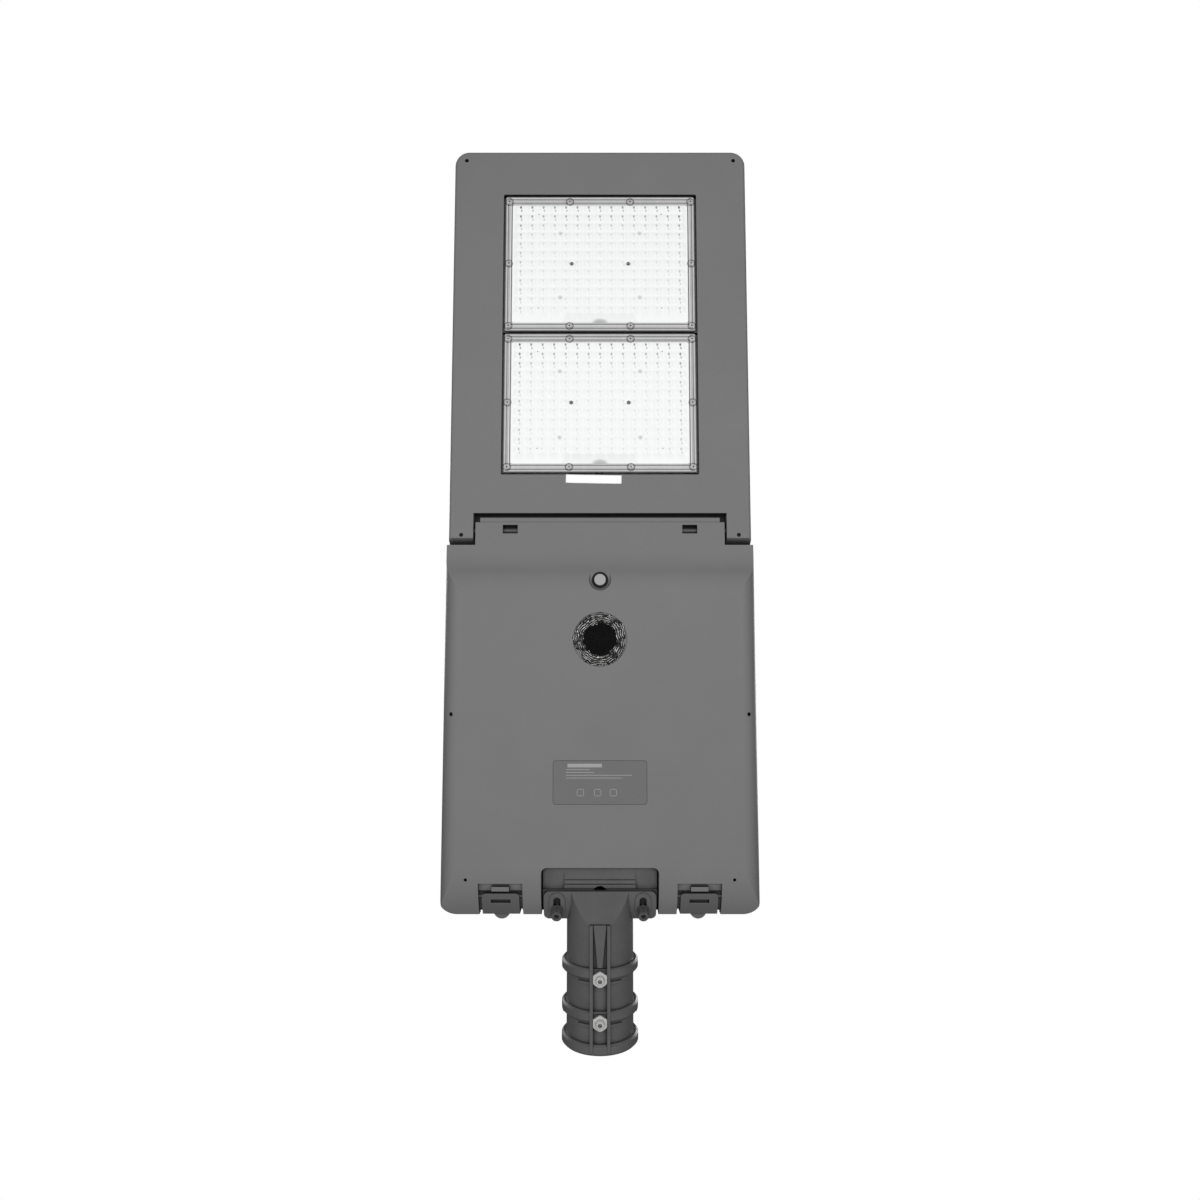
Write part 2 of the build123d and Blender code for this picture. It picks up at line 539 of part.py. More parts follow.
def make_tray():
    """The tray that carries the panel: rim, ledge, bulkhead, bay flange and clip posts."""
    ends = (TRAY_END, HEAD_END)
    tray = slab(SHELL_WIDTH, *ends, SPLIT_Z, RIM_TOP, PLAN_RADIUS)
    tray = fillet(tray.edges().group_by(Axis.Z)[-1], 2.0)
    inner = (TRAY_END + WALL, HEAD_END - WALL)
    tray -= slab(SHELL_WIDTH - 2 * WALL, *inner, SPLIT_Z - 1, RIM_TOP + 1, PLAN_RADIUS - WALL)
    ledge = slab(SHELL_WIDTH - 2 * WALL, *inner, LEDGE_LOW, LEDGE_TOP, PLAN_RADIUS - WALL)
    ledge -= slab(
        SHELL_WIDTH - 2 * (WALL + LEDGE_WIDTH), TRAY_END + WALL + LEDGE_WIDTH, HEAD_END - WALL - LEDGE_WIDTH,
        LEDGE_LOW - 1, LEDGE_TOP + 1, 6.0,
    )
    tray += ledge
    tray += block(-HALF + WALL, HALF - WALL, BULKHEAD_Y, BULKHEAD_Y + WALL, SPLIT_Z, LEDGE_LOW)
    for y in (from_head(194.0), from_head(354.0)):
        tray += block(-HALF + WALL, HALF - WALL, y - WALL / 2, y + WALL / 2, LEDGE_LOW - 2.0, LEDGE_TOP)
    tray += bay_ring(0, 11.0, SPLIT_Z, SPLIT_Z + WALL)
    # a trough over the door's hinge keeps rain out of the light bay and the battery bay
    bay_end = from_head(DOOR_WIDE_FROM_HEAD + WALL)
    tray += block(-HALF + WALL, HALF - WALL, bay_end, BULKHEAD_Y, TROUGH_Z, TROUGH_Z + TROUGH_WALL)
    tray += block(-HALF + WALL, HALF - WALL, bay_end, bay_end + TROUGH_WALL, SPLIT_Z, TROUGH_Z + TROUGH_WALL)
    tray -= along_y(0, BULKHEAD_Y - 2.0 - CLEAR, BULKHEAD_Y, LEAD_Z, GROMMET_RADIUS + 2.0 + CLEAR)
    edges = GLASS_WIDTH / 2 + 0.5, GLASS_LENGTH / 2 + 0.5
    for x, y, turn in clip_places():
        half = CLIP_LENGTH / 2 + CLEAR
        if turn in (0, 2):
            post = block(edges[0], HALF - 1.0, y - half, y + half, LEDGE_LOW, GLASS_TOP)
            notch = block(edges[0], HALF + 5, y - half, y + half, GLASS_TOP, RIM_TOP + 5)
            flip = 1 if turn == 0 else -1
            post, notch = (mirror(p, Plane.YZ) if flip < 0 else p for p in (post, notch))
        else:
            up = 1 if turn == 1 else -1
            near, far = sorted((MID_Y + up * edges[1], MID_Y + up * (SHELL_LENGTH / 2 - 1)))
            post = block(x - half, x + half, near, far, LEDGE_LOW, GLASS_TOP)
            near, far = sorted((MID_Y + up * edges[1], MID_Y + up * (SHELL_LENGTH / 2 + 5)))
            notch = block(x - half, x + half, near, far, GLASS_TOP, RIM_TOP + 5)
        tray = tray + post - notch
    for x, y in clip_screw_places():
        tray -= upright(x, y, 1.5 + SCREW_CLEAR, GLASS_TOP - 8.0, GLASS_TOP + 1)
    for x, y in cover_screw_places():
        post = upright(x, y, 5.0, SPLIT_Z, LEDGE_LOW)
        tray += post - upright(x, y, 1.7 + SCREW_CLEAR, SPLIT_Z - 1, SPLIT_Z + 14)
    for x in (-PLATE_BOSS_X, PLATE_BOSS_X):
        for y in PLATE_BOSSES:
            tray += block(x - 8, x + 8, y - 7, y + 7, PLATE_LOW + PLATE_THICK, LEDGE_LOW)
            tray -= upright(x, y, 2.0 + SCREW_CLEAR, PLATE_LOW, LEDGE_LOW)
    # moulding windows, a drain and two rim notches at the spigot end
    for side in (-1, 1):
        for y in (TRAY_END + 46, HEAD_END - 46):
            reach = sorted((side * (HALF - 8.2), side * (HALF - WALL)))
            tray -= block(*reach, y - 11, y + 11, LEDGE_TOP - 1.2, RIM_TOP)
        for y in (TRAY_END + 6.5, HEAD_END - 6.5):
            x = side * (HALF - 45)
            tray -= block(x - 11, x + 11, y - 2.5, y + 2.5, LEDGE_TOP - 1.2, LEDGE_TOP + 1)
        x = side * 150
        tray -= block(x - 5, x + 5, TRAY_END - 1, TRAY_END + WALL + 0.5, RIM_TOP - 4, RIM_TOP + 1)
        x = side * LATCH_X
        tray += block(x - 29, x + 29, TRAY_END + WALL, TRAY_END + 7, SPLIT_Z + WALL, 18.0)
        tray -= block(x - 26, x + 26, TRAY_END - 1, TRAY_END + 4.5, SPLIT_Z - 1, 15.0)
        tray += block(x - 12, x + 12, TRAY_END + 3.2, TRAY_END + 4.5, SPLIT_Z + 0.8, SPLIT_Z + 2.8)
    tray -= upright(0, TRAY_END + 6.5, 2.5, LEDGE_LOW - 1, LEDGE_TOP + 1)
    tray -= along_y(0, BULKHEAD_Y - 1, BULKHEAD_Y + WALL + 1, LEAD_Z, GROMMET_RADIUS)
    return tray.solids().sort_by(SortBy.VOLUME)[-1]


def make_clips():
    """Moulded clips screwed over the glass edge, with shallow relief between the screws."""
    clips = []
    for x, y, turn in clip_places():
        z = GLASS_TOP + 0.2
        body = block(-CLIP_DEPTH / 2, CLIP_DEPTH / 2, -CLIP_LENGTH / 2, CLIP_LENGTH / 2, 0, CLIP_THICK)
        body = fillet(body.edges().filter_by(Axis.Z), 1.5)
        body = chamfer(body.edges().group_by(Axis.Z)[-1], 0.8)
        body -= block(-CLIP_DEPTH / 2 + 2.5, CLIP_DEPTH / 2 - 5, -2.5, 2.5, CLIP_THICK - 0.8, CLIP_THICK + 1)
        for side in (-1, 1):
            middle = side * CLIP_SCREW_PITCH / 2
            sides = middle - 2.2, middle + 2.2
            body -= block(-CLIP_DEPTH / 2 + 2.5, -2.0, *sides, CLIP_THICK - 0.8, CLIP_THICK + 1)
            body -= upright(CLIP_DEPTH / 2 - 5.5, middle, 1.5 + SCREW_CLEAR, -1, CLIP_THICK + 1)
        clips.append(Pos(x, y, z) * Rot(0, 0, 90 * turn) * body)
    return group(clips)


def clip_screw_places():
    """Both screw centres of every clip."""
    out = CLIP_DEPTH / 2 - 5.5
    turned = {0: (1, 0), 1: (0, 1), 2: (-1, 0), 3: (0, -1)}
    places = []
    for x, y, turn in clip_places():
        ax, ay = turned[turn]
        for step in (-CLIP_SCREW_PITCH / 2, CLIP_SCREW_PITCH / 2):
            places.append((x + ax * out - ay * step, y + ay * out + ax * step))
    return places


def make_clip_screws():
    """Two cross-head screws in each clip."""
    z = GLASS_TOP + 0.2 + CLIP_THICK
    screw = crosshead(0, 0, z, 1.5, 4.0, 2.6, 11.0, 1)
    return group([Pos(x, y, 0) * screw for x, y in clip_screw_places()])


# ---------------------------------------------------------------- solar panel
def make_glass():
    """The panel's front glass."""
    sheet = Pos(0, MID_Y, (GLASS_TOP + GLASS_LOW) / 2) * Box(GLASS_WIDTH, GLASS_LENGTH, GLASS_THICK)
    return chamfer(sheet.edges().group_by(Axis.Z)[-1], 0.5)


def cell_rows():
    """The head edge of each cell strip, from the head end down."""
    first = MID_Y + GLASS_LENGTH / 2 - CELL_MARGIN_HEAD
    return [first - i * CELL_PITCH for i in range(CELL_STRIPS)]


def column_centres():
    """The middle of each cell column."""
    shift = (CELL_WIDTH + CELL_COLUMN_GAP) / 2
    return (-shift, shift)


def make_cells():
    """Quarter-cut cells in two columns; a wafer's outer corners are chamfered."""
    cells = []
    for x in column_centres():
        for i, top in enumerate(cell_rows()):
            head_cut = CELL_CHAMFER if i % STRIPS_PER_WAFER == 0 else 0.0
            tail_cut = CELL_CHAMFER if i % STRIPS_PER_WAFER == STRIPS_PER_WAFER - 1 else 0.0
            half, low = CELL_WIDTH / 2, top - CELL_STRIP
            corners = [
                (x - half, low + tail_cut), (x - half, top - head_cut),
                (x - half + head_cut, top), (x + half - head_cut, top),
                (x + half, top - head_cut), (x + half, low + tail_cut),
                (x + half - tail_cut, low), (x - half + tail_cut, low),
            ]
            face = make_face(Polyline(*dict.fromkeys(corners), close=True))
            cells.append(Pos(0, 0, GLASS_LOW - RIBBON_THICK - CELL_THICK) * extrude(face, CELL_THICK))
    return group(cells)


def make_ribbons():
    """Tinned ribbons that join the cells of each column, under the glass."""
    top = cell_rows()[0] + 2.0
    low = cell_rows()[-1] - CELL_STRIP - 2.0
    strips = []
    for x in column_centres():
        for i in range(RIBBONS):
            middle = x + (i - (RIBBONS - 1) / 2) * CELL_WIDTH / RIBBONS
            sides = middle - RIBBON_WIDTH / 2, middle + RIBBON_WIDTH / 2
            strips.append(block(*sides, low, top, GLASS_LOW - RIBBON_THICK, GLASS_LOW))
    return group(strips)


def make_backsheet():
    """The white sheet behind the cells."""
    half, long = GLASS_WIDTH / 2, GLASS_LENGTH / 2
    return block(-half, half, MID_Y - long, MID_Y + long, SHEET_LOW, SHEET_LOW + 0.3)


def make_panel_seal():
    """A foam strip between the ledge and the panel."""
    wide, long = GLASS_WIDTH, GLASS_LENGTH
    seal = slab(wide - 2, MID_Y - long / 2 + 1, MID_Y + long / 2 - 1, LEDGE_TOP, SHEET_LOW, 4.0)
    ends = MID_Y - long / 2 + 8, MID_Y + long / 2 - 8
    return seal - slab(wide - 16, *ends, LEDGE_TOP - 1, SHEET_LOW + 1, 3.0)


def make_junction_box():
    """The box on the panel's back where its leads start."""
    body = block(-55, 55, -22, 22, JUNCTION_LOW, SHEET_LOW)
    body = fillet(body.edges().filter_by(Axis.Z), 5.0)
    body -= block(-49, 49, -16, 16, JUNCTION_LOW - 1, JUNCTION_LOW + 1)
    return Pos(JUNCTION_X, JUNCTION_Y, 0) * body


# ---------------------------------------------------------------- light cover and modules
def cover_screw_places():
    """The four screws that hold the light cover to the tray."""
    return [
        (side * x, from_head(t)) for side in (-1, 1) for x, t in ((HALF - 16.5, 14.0), (HALF - 17.0, 541.0))
    ]


def make_cover():
    """The lower cover round the light, with an ear on each side of the door's hinge."""
    ear_end = from_head(EAR_FROM_HEAD)
    cover = slab(SHELL_WIDTH, ear_end - 40, HEAD_END, COVER_Z, SPLIT_Z, PLAN_RADIUS)
    cover = fillet(cover.edges().group_by(Axis.Z)[0], COVER_EDGE)
    cover -= block(-HALF - 1, HALF + 1, ear_end - 60, ear_end, COVER_Z - 1, SPLIT_Z + 1)
    deep = COVER_Z + WALL, SPLIT_Z + 1
    cavity = slab(SHELL_WIDTH - 2 * WALL, SLOT_Y + WALL, HEAD_END - WALL, *deep, PLAN_RADIUS - WALL)
    for piece in both_sides(EAR_INNER_X + WALL, HALF - WALL, ear_end + 10, SLOT_Y + 30, *deep):
        cavity += piece
    cover -= cavity
    cover -= block(-EAR_INNER_X, EAR_INNER_X, ear_end - 1, SLOT_Y, COVER_Z - 1, SPLIT_Z + 1)
    slope = make_face(Polyline(
        (ear_end - 1, COVER_Z - 1), (ear_end + 7.0, COVER_Z - 1), (ear_end + 7.0, COVER_Z),
        (ear_end, SPLIT_Z - 0.5), (ear_end - 1, SPLIT_Z), close=True,
    ))
    cover -= extrude(Plane.YZ * slope, HALF + 1, both=True)
    y1 = from_head(WINDOW_FROM_HEAD)
    y0 = y1 - 2 * MODULE_LENGTH - MODULE_GAP - 2 * WINDOW_GAP
    cover -= slab(WINDOW_WIDTH, y0, y1, COVER_Z - 1, COVER_Z + WALL + 1, 2.0)
    for x, y in module_screw_places():
        boss = upright(x, y, 4.0, COVER_Z + WALL, HEATSINK_LOW)
        cover += boss - upright(x, y, 1.5 + SCREW_CLEAR, COVER_Z + WALL + 0.5, 5)
    for side in (-1, 1):
        near = sorted((side * (EAR_INNER_X + WALL), side * (EAR_INNER_X + 12.0)))
        cover += block(*near, HINGE_Y - 7, HINGE_Y + 7, COVER_Z + WALL, SPLIT_Z)
        reach = sorted((side * (EAR_INNER_X - 1), side * (EAR_INNER_X + 10)))
        cover -= along_x(*reach, HINGE_Y, HINGE_Z, HINGE_ROD_RADIUS + RUNNING)
    for x, y in cover_screw_places():
        cover += upright(x, y, 5.0, COVER_Z + 1, SPLIT_Z)
        cover -= upright(x, y, 2.6, COVER_Z - 1, SPLIT_Z - 3)
        cover -= upright(x, y, 1.7 + SCREW_CLEAR, COVER_Z - 1, SPLIT_Z + 1)
    return cover.solids().sort_by(SortBy.VOLUME)[-1]


def make_cover_screws():
    """Screws set deep in the cover's corner holes."""
    z = SPLIT_Z - 3
    screws = []
    for x, y in cover_screw_places():
        screw = upright(x, y, 1.7, z, z + 14) + upright(x, y, 2.5, z - 2.4, z)
        screws.append(screw - Pos(x, y, z - 2.4) * extrude(RegularPolygon(1.3, 6), 1.4))
    return group(screws)


def module_screw_places():
    """The screws that hold each module's heatsink to the cover."""
    x = WINDOW_WIDTH / 2 + 6.0
    return [(side * x, y + dy) for y in MODULE_CENTRES for side in (-1, 1) for dy in (-70, 70)]


def make_module_screws():
    """Screws through the heatsink flanges into the cover's bosses."""
    z = HEATSINK_LOW + HEATSINK_BASE
    return group([crosshead(x, y, z, 1.5, 3.2, 2.2, 7.0, 1) for x, y in module_screw_places()])


def lens_places(centre):
    """Column and row centres of a module's lenses."""
    first = centre + MODULE_LENGTH / 2 - LENS_FIRST_ROW
    return [
        ((c - (LENS_COLUMNS - 1) / 2) * LENS_PITCH_X, first - r * LENS_PITCH_Y)
        for c in range(LENS_COLUMNS) for r in range(LENS_ROWS)
    ]


def rim_screw_places(centre):
    """The ten screws round a module's rim."""
    xs = [side * x for side in (-1, 1) for x in RIM_SCREW_X]
    ends = [(x, centre + end * RIM_SCREW_Y) for x in xs for end in (-1, 1)]
    return ends + [(-RIM_SCREW_X[0], centre), (RIM_SCREW_X[0], centre)]


def inner_screw_places(centre):
    """The screws inside the lens field that press the board on its heatsink."""
    head = centre + MODULE_LENGTH / 2
    centre_pair = [(-39.0, centre), (39.0, centre)]
    return centre_pair + [(side * 54.7, head - t) for side in (-1, 1) for t in (53.0, 145.0)]


def make_lens_plate(centre):
    """A clear cover: rim, screw bosses and a thin field that carries the lenses."""
    y0, y1 = centre - MODULE_LENGTH / 2, centre + MODULE_LENGTH / 2
    plate = slab(MODULE_WIDTH, y0, y1, RIM_FACE_Z, RIM_BACK_Z, 4.0)
    field = slab(MODULE_WIDTH - 20, y0 + 12, y1 - 12, RIM_FACE_Z + LENS_FIELD_THICK, RIM_BACK_Z + 1, 3.0)
    for x, y in rim_screw_places(centre):
        field -= upright(x, y, 5.6, RIM_FACE_Z, RIM_BACK_Z + 1)
    plate -= field
    plate -= slab(MODULE_WIDTH - 20, y0 + 12, y1 - 12, RIM_FACE_Z - 1, RIM_FACE_Z + 0.8, 3.0)
    for x, y in rim_screw_places(centre):
        plate -= upright(x, y, 1.5 + SCREW_CLEAR, RIM_FACE_Z - 1, RIM_BACK_Z + 1)
    for x, y in inner_screw_places(centre):
        plate -= upright(x, y, 2.6, RIM_FACE_Z - 1, RIM_BACK_Z + 1)
    return plate.solids().sort_by(SortBy.VOLUME)[-1]


def make_lens_gasket(centre):
    """The rubber ring between a lens plate and its heatsink."""
    y0, y1 = centre - MODULE_LENGTH / 2, centre + MODULE_LENGTH / 2
    ring = slab(MODULE_WIDTH - 1, y0 + 0.5, y1 - 0.5, RIM_BACK_Z, HEATSINK_LOW, 4.0)
    ring -= slab(MODULE_WIDTH - 22, y0 + 13, y1 - 13, RIM_BACK_Z - 1, HEATSINK_LOW + 1, 3.0)
    for x, y in rim_screw_places(centre):
        ring -= upright(x, y, 1.5 + SCREW_CLEAR, RIM_BACK_Z - 1, HEATSINK_LOW + 1)
    return ring.solids().sort_by(SortBy.VOLUME)[-1]


def make_heatsink(centre):
    """A finned aluminium plate that spans the window."""
    y0, y1 = centre - MODULE_LENGTH / 2, centre + MODULE_LENGTH / 2
    top = HEATSINK_LOW + HEATSINK_BASE
    sink = block(-WINDOW_WIDTH / 2 - 11, WINDOW_WIDTH / 2 + 11, y0, y1, HEATSINK_LOW, top)
    for i in range(18):
        x = (i - 8.5) * 14.0
        if abs(x) > 10:
            sink += block(x - 1, x + 1, y0 + 10, y1 - 10, top - 0.5, HEATSINK_TOP)
    for x, y in module_screw_places():
        if y0 < y < y1:
            sink -= upright(x, y, 1.5 + SCREW_CLEAR, HEATSINK_LOW - 1, top + 1)
    for x, y in rim_screw_places(centre) + inner_screw_places(centre):
        sink -= upright(x, y, 1.5 + SCREW_CLEAR, HEATSINK_LOW - 1, top - 1)
    sink -= upright(0, y0 + LEAD_ENTRY, LEAD_RADIUS + 1.0, HEATSINK_LOW - 1, top + 1)
    return sink.solids().sort_by(SortBy.VOLUME)[-1]


def make_board(centre):
    """The aluminium-core board, screwed to the heatsink's face."""
    y0, y1 = centre - MODULE_LENGTH / 2 + 15, centre + MODULE_LENGTH / 2 - 15
    low = HEATSINK_LOW - BOARD_THICK
    board = block(-MODULE_WIDTH / 2 + 13, MODULE_WIDTH / 2 - 13, y0, y1, low, HEATSINK_LOW)
    for x, y in rim_screw_places(centre):
        board -= upright(x, y, 6.0, low - 1, HEATSINK_LOW + 1)
    for x, y in inner_screw_places(centre):
        board -= upright(x, y, 1.5 + SCREW_CLEAR, low - 1, HEATSINK_LOW + 1)
    return board - upright(0, y0 - 15 + LEAD_ENTRY, LEAD_RADIUS + 1.0, low - 1, HEATSINK_LOW + 1)


def make_led_chips():
    """Square light-emitting packages, one under each lens."""
    low = HEATSINK_LOW - BOARD_THICK
    chips = []
    for centre in MODULE_CENTRES:
        for x, y in lens_places(centre):
            blocked = [p for p in inner_screw_places(centre) if (p[0] - x) ** 2 + (p[1] - y) ** 2 < 16.0]
            if not blocked:
                chips.append(block(x - 1.5, x + 1.5, y - 1.5, y + 1.5, low - 0.7, low))
    return group(chips)


def make_rim_screws():
    """The ten rim screws of both modules."""
    places = [p for centre in MODULE_CENTRES for p in rim_screw_places(centre)]
    screw = crosshead(0, 0, RIM_FACE_Z, 1.5, 3.2, 2.0, RIM_THICK + GASKET_THICK + 2.8, -1)
    return group([Pos(x, y, 0) * screw for x, y in places])


def make_board_screws():
    """The screws inside the lens field of both modules."""
    z = HEATSINK_LOW - BOARD_THICK
    places = [p for centre in MODULE_CENTRES for p in inner_screw_places(centre)]
    screw = crosshead(0, 0, z, 1.5, 2.4, 1.6, BOARD_THICK + 2.8, -1)
    return group([Pos(x, y, 0) * screw for x, y in places])


# ---------------------------------------------------------------- chassis, battery, controller, leads
def make_chassis_plate():
    """The steel plate over the battery bay that ties seat, battery and tray together."""
    half = PLATE_BOSS_X + 7
    plate = block(-half, half, TRAY_END + WALL + 7, PLATE_END, PLATE_LOW, PLATE_LOW + PLATE_THICK)
    for x in (-PLATE_BOSS_X, PLATE_BOSS_X):
        for y in PLATE_BOSSES:
            plate -= upright(x, y, 2.0 + SCREW_CLEAR, 0, 60)
    for x, y in seat_screw_places():
        plate -= upright(x, y, 3.0 + SCREW_CLEAR, 0, 60)
    for x, y in strap_screw_places() + controller_screw_places():
        plate -= upright(x, y, 2.0 + SCREW_CLEAR, 0, 60)
    return plate


def make_chassis_screws():
    """Screws up through the chassis plate into the tray's bosses."""
    screws = []
    for x in (-PLATE_BOSS_X, PLATE_BOSS_X):
        for y in PLATE_BOSSES:
            screws.append(crosshead(x, y, PLATE_LOW, 2.0, 4.0, 2.6, 6.5, -1))
    return group(screws)


def make_battery_case():
    """The pack's box, open towards the chassis plate."""
    y0, y1 = BATTERY_Y - CASE_LENGTH / 2, BATTERY_Y + CASE_LENGTH / 2
    case = slab(CASE_WIDTH, y0, y1, CASE_LOW, CASE_TOP - CASE_WALL, 4.0)
    inset = CASE_WALL
    return case - slab(CASE_WIDTH - 2 * inset, y0 + inset, y1 - inset, CASE_LOW + inset, CASE_TOP + 1, 3.0)


def make_battery_lid():
    """The sheet that closes the pack under the chassis plate."""
    y0, y1 = BATTERY_Y - CASE_LENGTH / 2, BATTERY_Y + CASE_LENGTH / 2
    return slab(CASE_WIDTH, y0, y1, CASE_TOP - CASE_WALL, CASE_TOP, 4.0)


def make_battery_cells():
    """Round lithium cells lying across the pack, each with its raised pole."""
    cells = []
    z = CASE_LOW + CASE_WALL + 1.0 + CELL_RADIUS
    for i in range(BATTERY_COLUMNS):
        x = (i - (BATTERY_COLUMNS - 1) / 2) * (CELL_LENGTH + 1.0)
        for j in range(BATTERY_ROWS):
            y = BATTERY_Y + (j - (BATTERY_ROWS - 1) / 2) * (2 * CELL_RADIUS + 0.6)
            half = CELL_LENGTH / 2
            can = along_x(x - half + 1, x + half - 1, y, z, CELL_RADIUS)
            cells.append(can + along_x(x - half, x + half, y, z, 5.0))
    return group(cells)


def strap_screw_places():
    """Where the battery straps are screwed up to the chassis plate."""
    x = CASE_WIDTH / 2 + 9
    return [(side * x, BATTERY_Y + dy) for side in (-1, 1) for dy in (-60, 60)]


def make_battery_straps():
    """Two steel straps that carry the pack."""
    straps = []
    x = CASE_WIDTH / 2
    for dy in (-60, 60):
        y0, y1 = BATTERY_Y + dy - 10, BATTERY_Y + dy + 10
        strap = block(-x - 1.5, x + 1.5, y0, y1, CASE_LOW - 1.2, CASE_LOW)
        for piece in both_sides(x + 0.3, x + 1.5, y0, y1, CASE_LOW - 1.2, PLATE_LOW):
            strap += piece
        for piece in both_sides(x + 0.3, x + 18, y0, y1, PLATE_LOW - 1.2, PLATE_LOW):
            strap += piece
        for side in (-1, 1):
            strap -= upright(side * (x + 9), BATTERY_Y + dy, 2.0 + SCREW_CLEAR, 0, 60)
        straps.append(strap)
    return group(straps)


def make_strap_screws():
    """Screws that hold the straps."""
    return group([crosshead(x, y, PLATE_LOW - 1.2, 2.0, 3.8, 2.4, 4.5, -1) for x, y in strap_screw_places()])


def controller_screw_places():
    """The controller's two flange screws."""
    return [(side * (CONTROLLER_SIZE[0] / 2 + 7), CONTROLLER_Y) for side in (-1, 1)]


def make_controller():
    """The sealed charge controller and light driver, hung under the chassis plate."""
    wide, long, deep = CONTROLLER_SIZE
    low = PLATE_LOW - deep
    body = block(-wide / 2, wide / 2, CONTROLLER_Y - long / 2, CONTROLLER_Y + long / 2, low, PLATE_LOW)
    for i in range(9):
        x = (i - 4) * 12.0
        body -= block(x - 2, x + 2, CONTROLLER_Y - long, CONTROLLER_Y + long, low - 1, low + 3)
    tab = wide / 2 + 14
    body += block(-tab, tab, CONTROLLER_Y - 10, CONTROLLER_Y + 10, PLATE_LOW - 3, PLATE_LOW)
    for x, y in controller_screw_places():
        body -= upright(x, y, 2.0 + SCREW_CLEAR, 0, 60)
    return body


def make_controller_screws():
    """Screws that hold the controller."""
    screw = crosshead(0, 0, PLATE_LOW - 3, 2.0, 3.8, 2.4, 6.0, -1)
    return group([Pos(x, y, 0) * screw for x, y in controller_screw_places()])


def lead(points, radii):
    """A round lead along straight runs joined by tangent arcs."""
    path = FilletPolyline(*points, radius=radii)
    start = Plane(origin=path @ 0, z_dir=path % 0)
    tube = sweep(start * Circle(LEAD_RADIUS), path=path)
    return tube.solids()[0]


def make_light_leads():
    """One lead from each light module, through the bulkhead, to the controller."""
    front = CONTROLLER_Y + CONTROLLER_SIZE[1] / 2
    into = PLATE_LOW - 10.0
    leads = []
    for centre, x in zip(MODULE_CENTRES, (LEAD_X, -LEAD_X)):
        start = centre - MODULE_LENGTH / 2 + LEAD_ENTRY
        points = [
            (0, start, HEATSINK_LOW - 0.5),
            (0, start, LEAD_Z),
            (x, start - 40, LEAD_Z),
            (x, front + 45, LEAD_Z),
            (x, front + 22, into),
            (x, front, into),
        ]
        leads.append(lead(points, (8.0, 20.0, 12.0, 12.0)))
    return group(leads)


def make_panel_leads():
    """Two leads from the junction box down to the controller."""
    front = CONTROLLER_Y + CONTROLLER_SIZE[1] / 2
    low = JUNCTION_Y - 22
    leads = []
    for x in (JUNCTION_X - 40.0, JUNCTION_X - 20.0):
        z = JUNCTION_LOW + 6
        points = [(x, low, z), (x, low - 5, z), (x, front + 5, PLATE_LOW - 10), (x, front, PLATE_LOW - 10)]
        leads.append(lead(points, (4.0, 4.0)))
    return group(leads)


def make_battery_leads():
    """Two short leads between the battery and the controller."""
    y0, y1 = BATTERY_Y + CASE_LENGTH / 2, CONTROLLER_Y - CONTROLLER_SIZE[1] / 2
    return group([along_y(x, y0, y1, PLATE_LOW - 10, LEAD_RADIUS) for x in (-18.0, 18.0)])


def make_grommet():
    """The rubber grommet where the light leads pass the bulkhead."""
    y0, y1 = BULKHEAD_Y, BULKHEAD_Y + WALL
    ring = along_y(0, y0 - 2, y1 + 2, LEAD_Z, GROMMET_RADIUS - 0.05)
    for end in (y0 - 2, y1):
        ring += along_y(0, end, end + 2, LEAD_Z, GROMMET_RADIUS + 2)
    ring &= block(-20, 20, y0 - 5, y1 + 5, 0, SHEET_LOW - 0.5)
    for side in (-1, 1):
        ring -= along_y(side * LEAD_X, y0 - 5, y1 + 5, LEAD_Z, LEAD_RADIUS + 0.05)
    return ring.solids().sort_by(SortBy.VOLUME)[-1]


